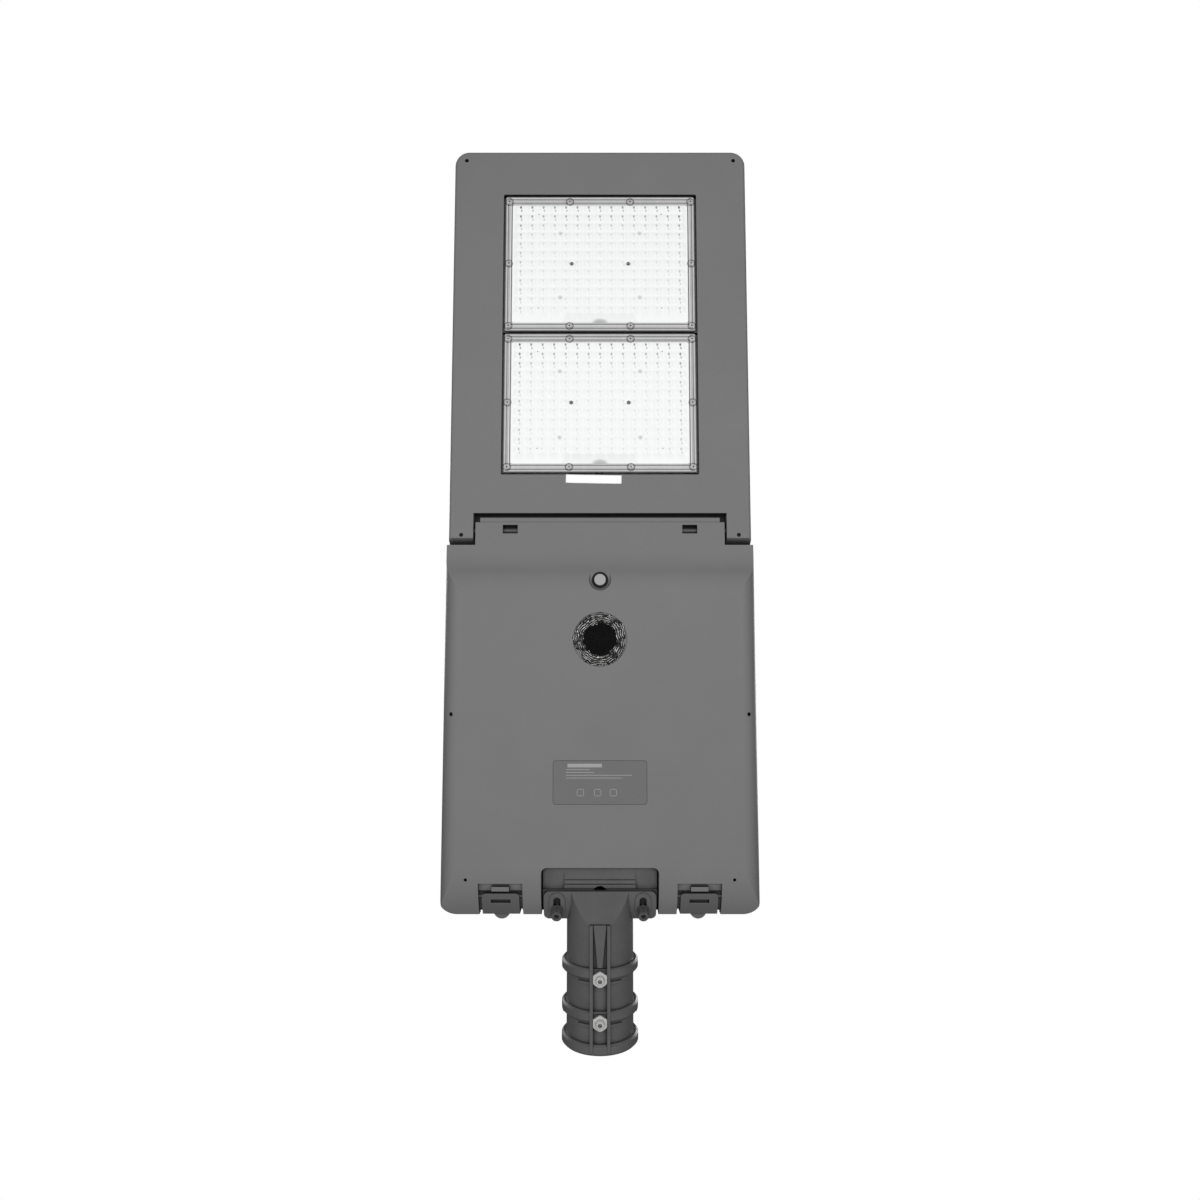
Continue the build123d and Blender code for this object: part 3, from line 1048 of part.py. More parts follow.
# ---------------------------------------------------------------- battery door
def door_body(inset):
    """The door's outer form, drawn in on every outside face by an inset."""
    y_wide, y_end = from_head(DOOR_WIDE_FROM_HEAD) - min(inset, WALL), DOOR_END + inset
    face, flat = DOOR_Z + inset, COVER_Z + inset
    start, stop = from_head(RAMP_START), from_head(RAMP_END)
    run, drop = start - stop, DOOR_DROP
    bend = (run * run + drop * drop) / (4 * drop)
    middle = ((start + stop) / 2, (flat + face) / 2)
    half_turn = asin(run / 2 / bend)
    quarter_y, quarter_z = bend * sin(half_turn / 2), bend * (1 - cos(half_turn / 2))
    fall_y = from_tail(FALL_FROM_TAIL)
    fall = FALL_RADIUS - inset
    turn = asin(min(1.0, (fall_y - y_end) / fall))
    top = SPLIT_Z - DOOR_GAP
    outline = [
        Line((y_wide, top), (y_wide, flat)),
        Line((y_wide, flat), (start, flat)),
        ThreePointArc((start, flat), (start - quarter_y, flat - quarter_z), middle),
        ThreePointArc(middle, (stop + quarter_y, face + quarter_z), (stop, face)),
        Line((stop, face), (fall_y, face)),
        ThreePointArc(
            (fall_y, face),
            (fall_y - fall * sin(turn / 2), face + fall * (1 - cos(turn / 2))),
            (y_end, face + fall * (1 - cos(turn))),
        ),
        Line((y_end, face + fall * (1 - cos(turn))), (y_end, top)),
        Line((y_end, top), (y_wide, top)),
    ]
    along = extrude(Plane.YZ * make_face(Wire(outline)), DOOR_HALF + 5, both=True)
    half, edge = DOOR_HALF - inset, DOOR_EDGE - inset
    section = make_face(Wire([
        Line((-half, top), (-half, face + edge)),
        JernArc((-half, face + edge), (0, -1), edge, 90),
        Line((-half + edge, face), (half - edge, face)),
        JernArc((half - edge, face), (1, 0), edge, 90),
        Line((half, face + edge), (half, top)),
        Line((half, top), (-half, top)),
    ]))
    y_mid, length = (y_end + y_wide) / 2, y_wide - y_end
    across = Pos(0, y_mid, 0) * extrude(Plane.XZ * section, length / 2 + 5, both=True)
    corner = PLAN_RADIUS + DOOR_PROUD - inset
    plan = Pos(0, y_end + (length + 40) / 2, face - 1) * extrude(
        RectangleRounded(2 * half, length + 40, corner), top - face + 2
    )
    return (along & across & plan).solids()[0]


def make_door():
    """The hinged lower cover: shell, ribs, seal wall, recesses, windows and knuckles."""
    top = SPLIT_Z - DOOR_GAP
    y_wide = from_head(DOOR_WIDE_FROM_HEAD)
    back = from_tail(RECESS_FROM_TAIL)
    pocket_y = from_tail(LATCH_POCKET_FROM_TAIL)
    half_pocket = LATCH_POCKET / 2
    outer, hollow = door_body(0.0), door_body(WALL)
    pocket_depth = LATCH_SINK + LATCH_THICK + 1.0
    sunk, floor = door_body(pocket_depth), door_body(pocket_depth + WALL)
    # what stays solid inside: the wall that meets the seal, ribs, pocket walls, button boss
    hollow -= bay_ring(
        SEAL_INSET - SEAL_WALL / 2, SEAL_INSET + SEAL_WALL / 2, DOOR_Z - 5, SPLIT_Z - SEAL_HEIGHT - 0.5,
    )
    for y in (from_head(650.0), from_head(720.0), from_head(790.0), from_head(900.0)):
        hollow -= block(-HALF + 7, HALF - 7, y - 1, y + 1, DOOR_Z - 5, DOOR_Z + WALL + 5)
    hollow -= slab(
        RECESS_WIDTH + 2 * WALL, DOOR_END - 30, back + WALL, DOOR_Z - 5, SPLIT_Z - 2.0, RECESS_CORNER + WALL,
    )
    for side in (-1, 1):
        x = side * LATCH_X
        sides = x - half_pocket - WALL, x + half_pocket + WALL
        hollow -= block(*sides, DOOR_END - 5, pocket_y + WALL, DOOR_Z - 5, top + 5) - floor
        hollow -= along_x(x - half_pocket, x + half_pocket, LATCH_PIN_Y, LATCH_PIN_Z, LATCH_GROOVE + WALL)
    hollow -= upright(0, BUTTON_Y, 17.5, DOOR_Z - 5, BUTTON_FLOOR + BUTTON_BOSS)
    door = outer - hollow
    # hinge side: flat tongue between the ears, stepped lip, knuckles beside the windows
    lip_y, face_y = from_head(LIP_FROM_HEAD), from_head(DOOR_TOP_FROM_HEAD)
    door += block(-DOOR_NARROW_X, DOOR_NARROW_X, y_wide - WALL, face_y, COVER_Z, COVER_Z + WALL)
    door += block(-DOOR_NARROW_X + 6, DOOR_NARROW_X - 6, face_y - 3, lip_y, COVER_Z + 2, COVER_Z + 2 + WALL)
    for side in (-1, 1):
        window = side * HINGE_WINDOW_X
        for place in (window - 13, window + 13):
            door += along_x(place - 2.5, place + 2.5, HINGE_Y, HINGE_Z, 6.0)
            door += block(place - 2.5, place + 2.5, HINGE_Y - 6, HINGE_Y + 6, COVER_Z + 1, HINGE_Z)
        reach = from_head(539.0), from_head(527.5)
        door -= block(window - 10, window + 10, *reach, COVER_Z - 1, COVER_Z + WALL)
    door -= along_x(-HALF, HALF, HINGE_Y, HINGE_Z, HINGE_ROD_RADIUS + RUNNING)
    # pocket for the spigot's bracket
    door -= slab(RECESS_WIDTH, DOOR_END - 30, back, DOOR_Z - 1, top + 1, RECESS_CORNER)
    # latch pockets, each with a stop lug on its floor, pin holes and a groove for the knuckle
    for side in (-1, 1):
        x = side * LATCH_X
        cut = block(x - half_pocket, x + half_pocket, DOOR_END - 5, pocket_y, DOOR_Z - 5, top + 5) - sunk
        cut -= block(x - 11, x + 11, pocket_y - 10, pocket_y - 4, DOOR_Z + 1.5, top)
        cut += along_x(x - half_pocket, x + half_pocket, LATCH_PIN_Y, LATCH_PIN_Z, LATCH_GROOVE)
        door -= cut
        door -= along_x(x - half_pocket - 2.5, x + half_pocket + 2.5, LATCH_PIN_Y, LATCH_PIN_Z,
                        LATCH_PIN_RADIUS + RUNNING)
    # seats of the button, the sensor and the label
    door -= upright(0, BUTTON_Y, 14.5, DOOR_Z - 1, BUTTON_FLOOR)
    door -= upright(0, BUTTON_Y, BEZEL_RADIUS - 1.5, DOOR_Z - 1, 0)
    door -= upright(0, SENSOR_Y, BEAD_RADIUS + 1.5, DOOR_Z - 1, DOOR_Z + 1.2)
    door -= upright(0, SENSOR_Y, SENSOR_RADIUS + 0.5, DOOR_Z - 1, 0)
    label_y = from_head(LABEL_FROM_HEAD)
    half_label = LABEL_LENGTH / 2 + 0.5
    door -= slab(LABEL_WIDTH + 1, label_y - half_label, label_y + half_label, DOOR_Z - 1, DOOR_Z + 0.5, 4.0)
    # drain holes
    for side in (-1, 1):
        for inset, y, radius in ((10.9, from_head(776.0), 2.5), (32.8, from_tail(46.0), 2.0)):
            door -= upright(side * (HALF - inset), y, radius, DOOR_Z - 2, DOOR_Z + 20)
    return door.solids().sort_by(SortBy.VOLUME)[-1]


def make_latch(side):
    """A curved lever flush in the door, with its hook, knuckle, slot and finger tab."""
    x, half = side * LATCH_X, LATCH_WIDTH / 2
    head_y = from_tail(LATCH_TOP_FROM_TAIL)
    top = SPLIT_Z - DOOR_GAP
    skin = door_body(LATCH_SINK) - door_body(LATCH_SINK + LATCH_THICK)
    outline = slab(LATCH_WIDTH, DOOR_END - 20, head_y, DOOR_Z - 1, top, 5.0)
    lever = (skin & (Pos(x, 0, 0) * outline)).solids().sort_by(SortBy.VOLUME)[-1]
    lever = lever + along_x(x - half, x + half, LATCH_PIN_Y, LATCH_PIN_Z, 3.0)
    y0 = DOOR_END + LATCH_SINK
    lever += block(x - half, x + half, y0, y0 + 3.0, top - 5, 12.0)
    hook_tip = TRAY_END + 3.2 - CLEAR
    lever += block(x - 12, x + 12, y0, hook_tip, SPLIT_Z + 4.2, SPLIT_Z + 6.2)
    tab = upright(x, DOOR_END + TAB_RADIUS - TAB_REACH, TAB_RADIUS, top - 6.0, top - 3.0)
    lever += tab & block(x - 20, x + 20, DOOR_END - TAB_REACH - 1, y0 + 1.0, DOOR_Z, top)
    slot_y = from_tail(LATCH_SLOT_FROM_TAIL)
    lever -= block(x - 12.5, x + 12.5, slot_y - 2.4, slot_y + 2.4, DOOR_Z - 1, 0)
    ramp = make_face(Polyline(
        (slot_y - 1, DOOR_Z - 1), (slot_y - 1, DOOR_Z + 12.6),
        (slot_y - 7.5, DOOR_Z + 11.0), (slot_y - 7.5, DOOR_Z - 1), close=True,
    ))
    lever -= Pos(x, 0, 0) * extrude(Plane.YZ * ramp, 11.0, both=True)
    lever -= along_x(x - 40, x + 40, LATCH_PIN_Y, LATCH_PIN_Z, LATCH_PIN_RADIUS + RUNNING)
    return lever.solids().sort_by(SortBy.VOLUME)[-1]


def make_latch_pins():
    """The two pins the latch levers turn on, held in the pocket's sides."""
    half = LATCH_POCKET / 2 + 2.0
    return group([
        along_x(side * LATCH_X - half, side * LATCH_X + half, LATCH_PIN_Y, LATCH_PIN_Z, LATCH_PIN_RADIUS)
        for side in (-1, 1)
    ])


def make_hinge_rod():
    """The steel rod the door swings on."""
    reach = EAR_INNER_X + 8.5
    return along_x(-reach, reach, HINGE_Y, HINGE_Z, HINGE_ROD_RADIUS)


def make_door_seal():
    """The rubber strip under the bay flange that the door's inner wall meets."""
    near, far = SEAL_INSET - SEAL_WIDTH / 2, SEAL_INSET + SEAL_WIDTH / 2
    ring = bay_ring(near, far, SPLIT_Z - SEAL_HEIGHT, SPLIT_Z)
    return ring.solids().sort_by(SortBy.VOLUME)[-1]


def make_label_plate():
    """A thin plate in its shallow seat on the door."""
    y = from_head(LABEL_FROM_HEAD)
    return slab(LABEL_WIDTH, y - LABEL_LENGTH / 2, y + LABEL_LENGTH / 2, DOOR_Z - 0.1, DOOR_Z + 0.5, 3.5)


def make_sensor_window():
    """The smoked window of the motion sensor, slightly domed, with a flange inside."""
    disc = upright(0, SENSOR_Y, SENSOR_RADIUS, DOOR_Z + 0.5, DOOR_Z + WALL + 1.5)
    ball_radius = 90.0
    ball = Pos(0, SENSOR_Y, DOOR_Z - 1.6 + ball_radius) * Sphere(ball_radius)
    dome = ball & upright(0, SENSOR_Y, SENSOR_RADIUS, DOOR_Z - 2, DOOR_Z + 0.6)
    flange = upright(0, SENSOR_Y, SENSOR_RADIUS + 5, DOOR_Z + WALL + 0.1, DOOR_Z + WALL + 1.6)
    return (disc + dome + flange).solids()[0]


def make_sensor_bead():
    """The ring of sealant round the sensor's window."""
    ring = upright(0, SENSOR_Y, BEAD_RADIUS, DOOR_Z - 1.6, DOOR_Z + 1.1)
    ring = fillet(ring.edges().group_by(Axis.Z)[0], 1.4)
    return ring - upright(0, SENSOR_Y, SENSOR_RADIUS + 0.6, DOOR_Z - 3, DOOR_Z + 3)


def make_sensor_board():
    """The sensor's small board and its detector can."""
    low = DOOR_Z + WALL + 3.5
    board = upright(0, SENSOR_Y, 20.0, low, low + 1.6)
    return board + upright(0, SENSOR_Y, 4.6, low - 1.8, low)


def make_bezel():
    """The button's threaded body with its flat ring outside the door."""
    ring = upright(0, BUTTON_Y, BEZEL_RADIUS, BUTTON_FLOOR - 1.6, BUTTON_FLOOR - 0.05)
    ring = chamfer(ring.edges().group_by(Axis.Z)[0], 0.6)
    body = upright(0, BUTTON_Y, BEZEL_RADIUS - 1.7, BUTTON_FLOOR - 0.2, BUTTON_FLOOR + BUTTON_BOSS + 9)
    deep = BUTTON_SHANK + BUTTON_TRAVEL + 1.0
    return ring + body - upright(0, BUTTON_Y, BUTTON_RADIUS + CLEAR, BUTTON_FLOOR - 3, BUTTON_FLOOR + deep)


def make_bezel_nut():
    """The hexagon nut that clamps the button's body from inside."""
    hexagon = extrude(RegularPolygon(12.0, 6, major_radius=False), 3.0)
    nut = Pos(0, BUTTON_Y, BUTTON_FLOOR + BUTTON_BOSS + 0.2) * hexagon
    return nut - upright(0, BUTTON_Y, BEZEL_RADIUS - 1.6, -60, 20)


def make_button():
    """The round cap that is pressed, domed outside."""
    cap = upright(0, BUTTON_Y, BUTTON_RADIUS, BUTTON_FLOOR - 3.4, BUTTON_FLOOR + BUTTON_SHANK)
    return fillet(cap.edges().group_by(Axis.Z)[0], 1.2)


NODES = {
    "spigot": make_spigot,
    "set_screws": make_set_screws,
    "grub_screws": make_grub_screws,
    "lock_nuts": make_lock_nuts,
    "tilt_seat": make_seat,
    "seat_screws": make_seat_screws,
    "tilt_bolts": make_tilt_bolts,
    "tilt_washers": make_tilt_washers,
    "top_tray": make_tray,
    "panel_clips": make_clips,
    "clip_screws": make_clip_screws,
    "panel_glass": make_glass,
    "panel_cells": make_cells,
    "panel_ribbons": make_ribbons,
    "panel_backsheet": make_backsheet,
    "panel_seal": make_panel_seal,
    "junction_box": make_junction_box,
    "light_cover": make_cover,
    "cover_screws": make_cover_screws,
    "module_screws": make_module_screws,
    "led_chips": make_led_chips,
    "rim_screws": make_rim_screws,
    "board_screws": make_board_screws,
    "chassis_plate": make_chassis_plate,
    "chassis_screws": make_chassis_screws,
    "battery_case": make_battery_case,
    "battery_lid": make_battery_lid,
    "battery_cells": make_battery_cells,
    "battery_straps": make_battery_straps,
    "strap_screws": make_strap_screws,
    "charge_controller": make_controller,
    "controller_screws": make_controller_screws,
    "light_leads": make_light_leads,
    "panel_leads": make_panel_leads,
    "battery_leads": make_battery_leads,
    "lead_grommet": make_grommet,
    "battery_door": make_door,
    "door_seal": make_door_seal,
    "hinge_rod": make_hinge_rod,
    "latch_pins": make_latch_pins,
    "label_plate": make_label_plate,
    "sensor_window": make_sensor_window,
    "sensor_bead": make_sensor_bead,
    "sensor_board": make_sensor_board,
    "button_body": make_bezel,
    "button_nut": make_bezel_nut,
    "power_button": make_button,
}
MODULE_NODES = {
    "lens_plate": make_lens_plate,
    "lens_gasket": make_lens_gasket,
    "heatsink": make_heatsink,
    "led_board": make_board,
}

if __name__ == "__main__":
    os.makedirs("parts", exist_ok=True)
    for name, make in NODES.items():
        export_step(make(), f"parts/{name}.step")
    for name, make in MODULE_NODES.items():
        for place, centre in zip(("head", "rear"), MODULE_CENTRES):
            export_step(make(centre), f"parts/{name}_{place}.step")
    for place, side in (("left", -1), ("right", 1)):
        export_step(make_latch(side), f"parts/latch_{place}.step")
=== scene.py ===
"""Finishes, fine pieces and stage of a solar street lamp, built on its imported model."""
import json
import math

import bpy
import numpy as np
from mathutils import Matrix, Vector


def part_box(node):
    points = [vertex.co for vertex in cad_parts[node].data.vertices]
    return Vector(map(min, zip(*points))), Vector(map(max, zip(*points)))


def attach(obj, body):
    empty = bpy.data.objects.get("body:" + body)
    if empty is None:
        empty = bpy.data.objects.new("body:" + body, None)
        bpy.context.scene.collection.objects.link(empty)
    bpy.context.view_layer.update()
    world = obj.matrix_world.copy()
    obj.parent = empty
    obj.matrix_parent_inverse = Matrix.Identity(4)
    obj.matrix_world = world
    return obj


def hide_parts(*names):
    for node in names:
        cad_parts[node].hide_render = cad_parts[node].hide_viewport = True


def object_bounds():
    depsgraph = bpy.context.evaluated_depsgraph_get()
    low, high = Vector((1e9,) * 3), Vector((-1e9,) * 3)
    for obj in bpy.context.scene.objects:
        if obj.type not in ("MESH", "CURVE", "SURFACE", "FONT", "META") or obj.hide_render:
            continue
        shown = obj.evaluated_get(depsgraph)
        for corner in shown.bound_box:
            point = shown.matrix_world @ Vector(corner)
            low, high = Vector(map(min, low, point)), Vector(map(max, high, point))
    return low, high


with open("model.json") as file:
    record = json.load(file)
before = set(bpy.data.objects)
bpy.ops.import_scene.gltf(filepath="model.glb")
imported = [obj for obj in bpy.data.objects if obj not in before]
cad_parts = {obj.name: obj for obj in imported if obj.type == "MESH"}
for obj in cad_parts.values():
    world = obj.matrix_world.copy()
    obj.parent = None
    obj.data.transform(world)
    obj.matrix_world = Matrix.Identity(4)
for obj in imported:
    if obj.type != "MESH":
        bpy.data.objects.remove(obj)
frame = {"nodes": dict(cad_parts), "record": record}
CAD_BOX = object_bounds()
NODES = frame["nodes"]

bl_info = {
    "name": "Solar street lamp",
    "version": (1, 0, 0),
    "blender": (4, 5, 0),
    "location": "View3D > Sidebar > Street lamp",
    "description": "Finishes, lens domes, sealant, label and stage of a solar street lamp",
    "category": "Object",
}


# ---------------------------------------------------------------- places, sizes and colours
def centre_of(node):
    """The middle of a CAD node's box."""
    low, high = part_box(node)
    return tuple((a + b) / 2 for a, b in zip(low, high))


MODULES = {name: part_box(f"lens_plate_{name}") for name in ("head", "rear")}
SENSOR = centre_of("sensor_window")
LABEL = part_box("label_plate")
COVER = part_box("light_cover")
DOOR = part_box("battery_door")
HEAD, DOOR_BODY = "lamp_head", "door"

# places on a light module: across from its middle, along from its head edge or its middle
LENS_COLUMNS, LENS_ROWS = 15, 12
FIRST_ROW = 0.0184              # head edge to the first row of lenses
RIM_SCREW_X = (0.1257, 0.0418)
RIM_SCREW_Y = 0.089             # from the middle
FIELD_SCREW_X = 0.0547
FIELD_SCREW_T = (0.053, 0.145)  # from the head edge
CENTRE_SCREW_X = 0.039
MARK_X = 0.085                  # small moulding marks
MARK_T = (0.025, 0.160)
STICKER_T = 0.4655              # the lamp's head end to the sticker
STICKER_X = 0.0085

# sizes on a light module
FIELD_HALF_X = 0.1212           # lens field, from its middle to its edge
FIELD_MARGIN = 0.0118           # plate edge to the lens field, along the lamp
FIELD_DEPTH = 0.0007            # how far the lens field is sunk into the plate's face
COLUMN_STEPS, ROW_STEPS = 7, 6  # grid steps across and along one lens
SCREW_HOLE, SCREW_FLAT = 0.0031, 0.0046  # round a centre screw: open, then flat
RING_RADIUS, RING_THICK = 0.0046, 0.0008

# stage
FLOOR_TOP, FLOOR_THICK, FLOOR_REACH = -3.0, 0.02, 60.0
FLOOR_CENTRE_Y = 0.6
SURROUND_LIGHT = 0.12           # share of the surround's brightness that lights the lamp
LIGHTS = (                      # name, place, size, watts, seen in reflections
    ("front", (0.0, 0.75, -2.4), 1.2, 56.0, False),
    ("lower left", (1.35, 0.70, -1.60), 0.8, 4.5, True),
    ("lower right", (-1.35, 0.70, -1.60), 0.8, 4.5, True),
    ("upper left", (1.3, 0.9, 2.0), 0.9, 17.0, True),
    ("upper right", (-1.3, 0.3, 2.0), 0.9, 17.0, True),
)
CAMERA_AIM = (0.0, 0.610, -0.010)
CAMERA_DISTANCE = 1.13
CAMERA_LEAN = math.radians(5.7)
CAMERA_LENS, CAMERA_SENSOR = 25.5, 36.0  # mm
CAMERA_SHIFT_Y = -0.0333


def length(name, default, description):
    """A size in metres for the sidebar."""
    return bpy.props.FloatProperty(
        name=name, description=description, default=default, unit="LENGTH", precision=5
    )


def tint(name, default, description):
    """A colour for the sidebar."""
    return bpy.props.FloatVectorProperty(
        name=name, description=description, default=default, subtype="COLOR", size=3
    )


class LampSizes(bpy.types.PropertyGroup):
    """Sizes of the pieces that the scene adds."""

    lens_pitch_x: length("Lens pitch across", 0.01566, "Spacing of the lens columns")
    lens_pitch_y: length("Lens pitch along", 0.0132, "Spacing of the lens rows")
    lens_height: length("Lens height", 0.0021, "How far a lens dome stands out of its field")
    rim_width: length("Rim width", 0.0098, "Width of a lens plate's rim")
    bead_radius: length("Sealant radius", 0.0275, "Middle of the ring round the sensor window")
    bead_width: length("Sealant width", 0.0062, "Half the width of the sealant ring")
    sticker_length: length("Sticker length", 0.075, "Blank sticker beside the light")
    sticker_width: length("Sticker width", 0.0115, "Blank sticker beside the light")
    grain: length("Moulding grain", 0.00045, "Size of the spark-eroded grain on the plastic")


class LampColours(bpy.types.PropertyGroup):
    """Base colours of the main finishes."""

    shell: tint("Shell", (0.152, 0.152, 0.152), "Cover and door plastic")
    tray: tint("Tray", (0.022, 0.023, 0.023), "Top tray plastic")
    casting: tint("Casting", (0.084, 0.084, 0.085), "Powder coat on the spigot")
    latch: tint("Latch", (0.098, 0.098, 0.098), "Latch levers")
    clip: tint("Clip", (0.110, 0.114, 0.106), "Panel clips")
    rim: tint("Rim", (0.37, 0.37, 0.37), "Rim of the lens plates")
    field: tint("Lens field", (0.80, 0.81, 0.81), "Lens field over its white board")
    silicon: tint("Silicon", (0.005, 0.006, 0.007), "Solar cells")
    sheet: tint("Backsheet", (0.72, 0.74, 0.70), "White sheet behind the cells")


# ---------------------------------------------------------------- shader tools
class Wire:
    """A value that varies over a surface: a node socket that takes part in arithmetic."""

    def __init__(self, paint, socket):
        self.paint = paint
        self.socket = socket

    def maths(self, operation, *values):
        return self.paint.node("ShaderNodeMath", {"operation": operation}, dict(enumerate(values)))

    def __add__(self, other):
        return self.maths("ADD", self, other)

    def __radd__(self, other):
        return self.maths("ADD", other, self)

    def __sub__(self, other):
        return self.maths("SUBTRACT", self, other)

    def __rsub__(self, other):
        return self.maths("SUBTRACT", other, self)

    def __mul__(self, other):
        return self.maths("MULTIPLY", self, other)

    def __truediv__(self, other):
        return self.maths("DIVIDE", self, other)

    def __pow__(self, other):
        return self.maths("POWER", self, other)

    def __abs__(self):
        return self.maths("ABSOLUTE", self)

    def fraction(self):
        return self.maths("FRACT", self)

    def ramp(self, low, high):
        """0 below low, 1 above high, smooth between; low may be the larger."""
        values = {"Value": self, "From Min": low, "From Max": high}
        return self.paint.node("ShaderNodeMapRange", {"interpolation_type": "SMOOTHSTEP"}, values)


class Paint:
    """One material: its node tree, its place on the piece and its Principled shader."""

    def __init__(self, name, **constants):
        self.material = bpy.data.materials.new(name)
        self.material.use_nodes = True
        self.tree = self.material.node_tree
        self.shader = self.tree.nodes["Principled BSDF"]
        self.where = self.node("ShaderNodeTexCoord", output="Object")
        self.set(**constants)

    def node(self, kind, settings=None, sockets=None, output=0):
        """Adds a node: settings first, then socket values or links; gives one output."""
        made = self.tree.nodes.new(kind)
        for key, value in (settings or {}).items():
            setattr(made, key, value)
        for key, value in (sockets or {}).items():
            self.plug(made.inputs[key], value)
        return Wire(self, made.outputs[output])

    def plug(self, socket, value):
        if isinstance(value, Wire):
            self.tree.links.new(value.socket, socket)
        elif isinstance(value, tuple) and len(value) == 3 and socket.type == "RGBA":
            socket.default_value = (*value, 1.0)
        else:
            socket.default_value = value

    def set(self, **values):
        """Sets or links the shader's sockets; Base_Color stands for Base Color."""
        for key, value in values.items():
            self.plug(self.shader.inputs[key.replace("_", " ")], value)

    def mix(self, factor, a, b):
        """Colour a where the factor is 0, b where it is 1."""
        return self.node("ShaderNodeMix", {"data_type": "RGBA"}, {0: factor, 6: a, 7: b}, output=2)

    def axes(self):
        """The place on the piece, in metres, along X, Y and Z."""
        split = self.node("ShaderNodeSeparateXYZ", None, {0: self.where}).socket.node
        return tuple(Wire(self, split.outputs[i]) for i in range(3))

    def stretched(self, stretch):
        return self.node("ShaderNodeMapping", None, {"Vector": self.where, "Scale": stretch})

    def noise(self, size, detail=2.0, stretch=None):
        """Clouds from 0 to 1, about size metres across."""
        where = self.stretched(stretch) if stretch else self.where
        sockets = {"Vector": where, "Scale": 1.0 / size, "Detail": detail, "Roughness": 0.6}
        return self.node("ShaderNodeTexNoise", None, sockets)

    def specks(self, size):
        """Random cells, about size metres across: a value from 0 to 1 for each."""
        sockets = {"Vector": self.where, "Scale": 1.0 / size}
        cell = self.node("ShaderNodeTexVoronoi", None, sockets, output="Color")
        return self.node("ShaderNodeSeparateColor", None, {0: cell})

    def bump(self, height, depth, strength=1.0, under=None):
        """A normal from a height of 0 to 1 that stands for depth metres."""
        sockets = {"Height": height, "Distance": depth, "Strength": strength}
        if under is not None:
            sockets["Normal"] = under
        return self.node("ShaderNodeBump", None, sockets)

    def rounded(self, radius):
        """A normal that softens edges by a radius."""
        return self.node("ShaderNodeBevel", {"samples": 4}, {"Radius": radius})

    def crevice_shade_mask(self, reach):
        """Mask of painted shade: 1 on open faces, falling to 0 in slots and corners that walls within
        reach close in, where base colours are darkened to stand in for shade.
        """
        reached = {"Distance": reach}
        seen = self.node("ShaderNodeAmbientOcclusion", {"samples": 6}, reached, output="AO")
        return seen.ramp(0.25, 0.85)


def shade(colour, amount):
    """A colour made lighter (over 1) or darker (under 1)."""
    return tuple(min(1.0, c * amount) for c in colour)


def moulded(name, colour, grain, rough=0.52, edge=0.0007, wear=0.25):
    """Spark-eroded plastic: fine grain, cloudy tone, a few scuffs, softened edges, and painted shade
    darkening slots and corners.
    """
    paint = Paint(name, Specular_IOR_Level=0.45)
    fine = paint.noise(grain, 3.0)
    cloud = paint.noise(0.07, 4.0)
    drift = paint.noise(0.30, 1.0)
    scuff = paint.noise(0.0016, 2.0, (1.0, 9.0, 1.0)).ramp(0.66, 0.80) * cloud.ramp(0.52, 0.70)
    speck = paint.specks(0.0012).ramp(0.965, 1.0) * 0.10
    tone = paint.mix(cloud * 0.5 + drift * 0.5, shade(colour, 0.90), shade(colour, 1.10))
    tone = paint.mix(scuff * wear, tone, shade(colour, 2.1))
    tone = paint.mix(speck, tone, shade(colour, 1.7))
    paint.set(
        # painted shade: slots and corners darken towards a sixth of the colour where walls close in
        Base_Color=paint.mix(paint.crevice_shade_mask(0.014), shade(colour, 0.16), tone),
        Roughness=fine * 0.12 + cloud * 0.10 - scuff * 0.08 + (rough - 0.10),
        Normal=paint.bump(fine, 0.00012, 0.45, paint.rounded(edge)),
    )
    return paint.material


def powder_coated(name, colour):
    """Thick powder coat on a casting: orange peel, grit, metal rubbed bare in places, and painted shade
    darkening slots and pockets.
    """
    paint = Paint(name, Specular_IOR_Level=0.5)
    peel = paint.noise(0.0016, 2.0)
    grit = paint.specks(0.0006)
    cloud = paint.noise(0.025, 4.0)
    rub = paint.noise(0.004, 5.0).ramp(0.70, 0.78)
    tone = paint.mix(cloud, shade(colour, 0.82), shade(colour, 1.18))
    tone = paint.mix(grit.ramp(0.9, 1.0) * 0.3, tone, shade(colour, 1.8))
    tone = paint.mix(rub * 0.35, tone, (0.24, 0.24, 0.24))
    paint.set(
        # painted shade: slots and pockets darken towards a fifth of the colour where walls close in
        Base_Color=paint.mix(paint.crevice_shade_mask(0.012), shade(colour, 0.20), tone),
        Metallic=rub * 0.5,
        Roughness=cloud * 0.18 + peel * 0.10 + 0.30,
        Normal=paint.bump(peel * 0.8 + grit * 0.2, 0.00018, 0.6, paint.rounded(0.0008)),
    )
    return paint.material


def steel(name, colour, rough, lay=0.00025, stain=0.35, metallic=1.0):
    """Turned or drawn metal: fine marks along one way, dull patches, and painted shade that darkens its
    hollows.
    """
    paint = Paint(name, Specular_IOR_Level=0.5)
    marks = paint.noise(lay, 3.0, (1.0, 1.0, 7.0))
    patch = paint.noise(0.003, 4.0)
    old = paint.noise(0.011, 3.0).ramp(0.52, 0.74) * stain
    tone = paint.mix(patch, shade(colour, 0.85), shade(colour, 1.08))
    tone = paint.mix(old, tone, shade(colour, 0.45))
    paint.set(
        # painted shade: hollows darken towards a tenth of the colour where walls close in
        Base_Color=paint.mix(paint.crevice_shade_mask(0.004), shade(colour, 0.10), tone),
        Metallic=metallic,
        Roughness=marks * 0.14 + patch * 0.12 + old * 0.3 + rough,
        Normal=paint.bump(marks, 0.00005, 0.35, paint.rounded(0.0003)),
    )
    return paint.material


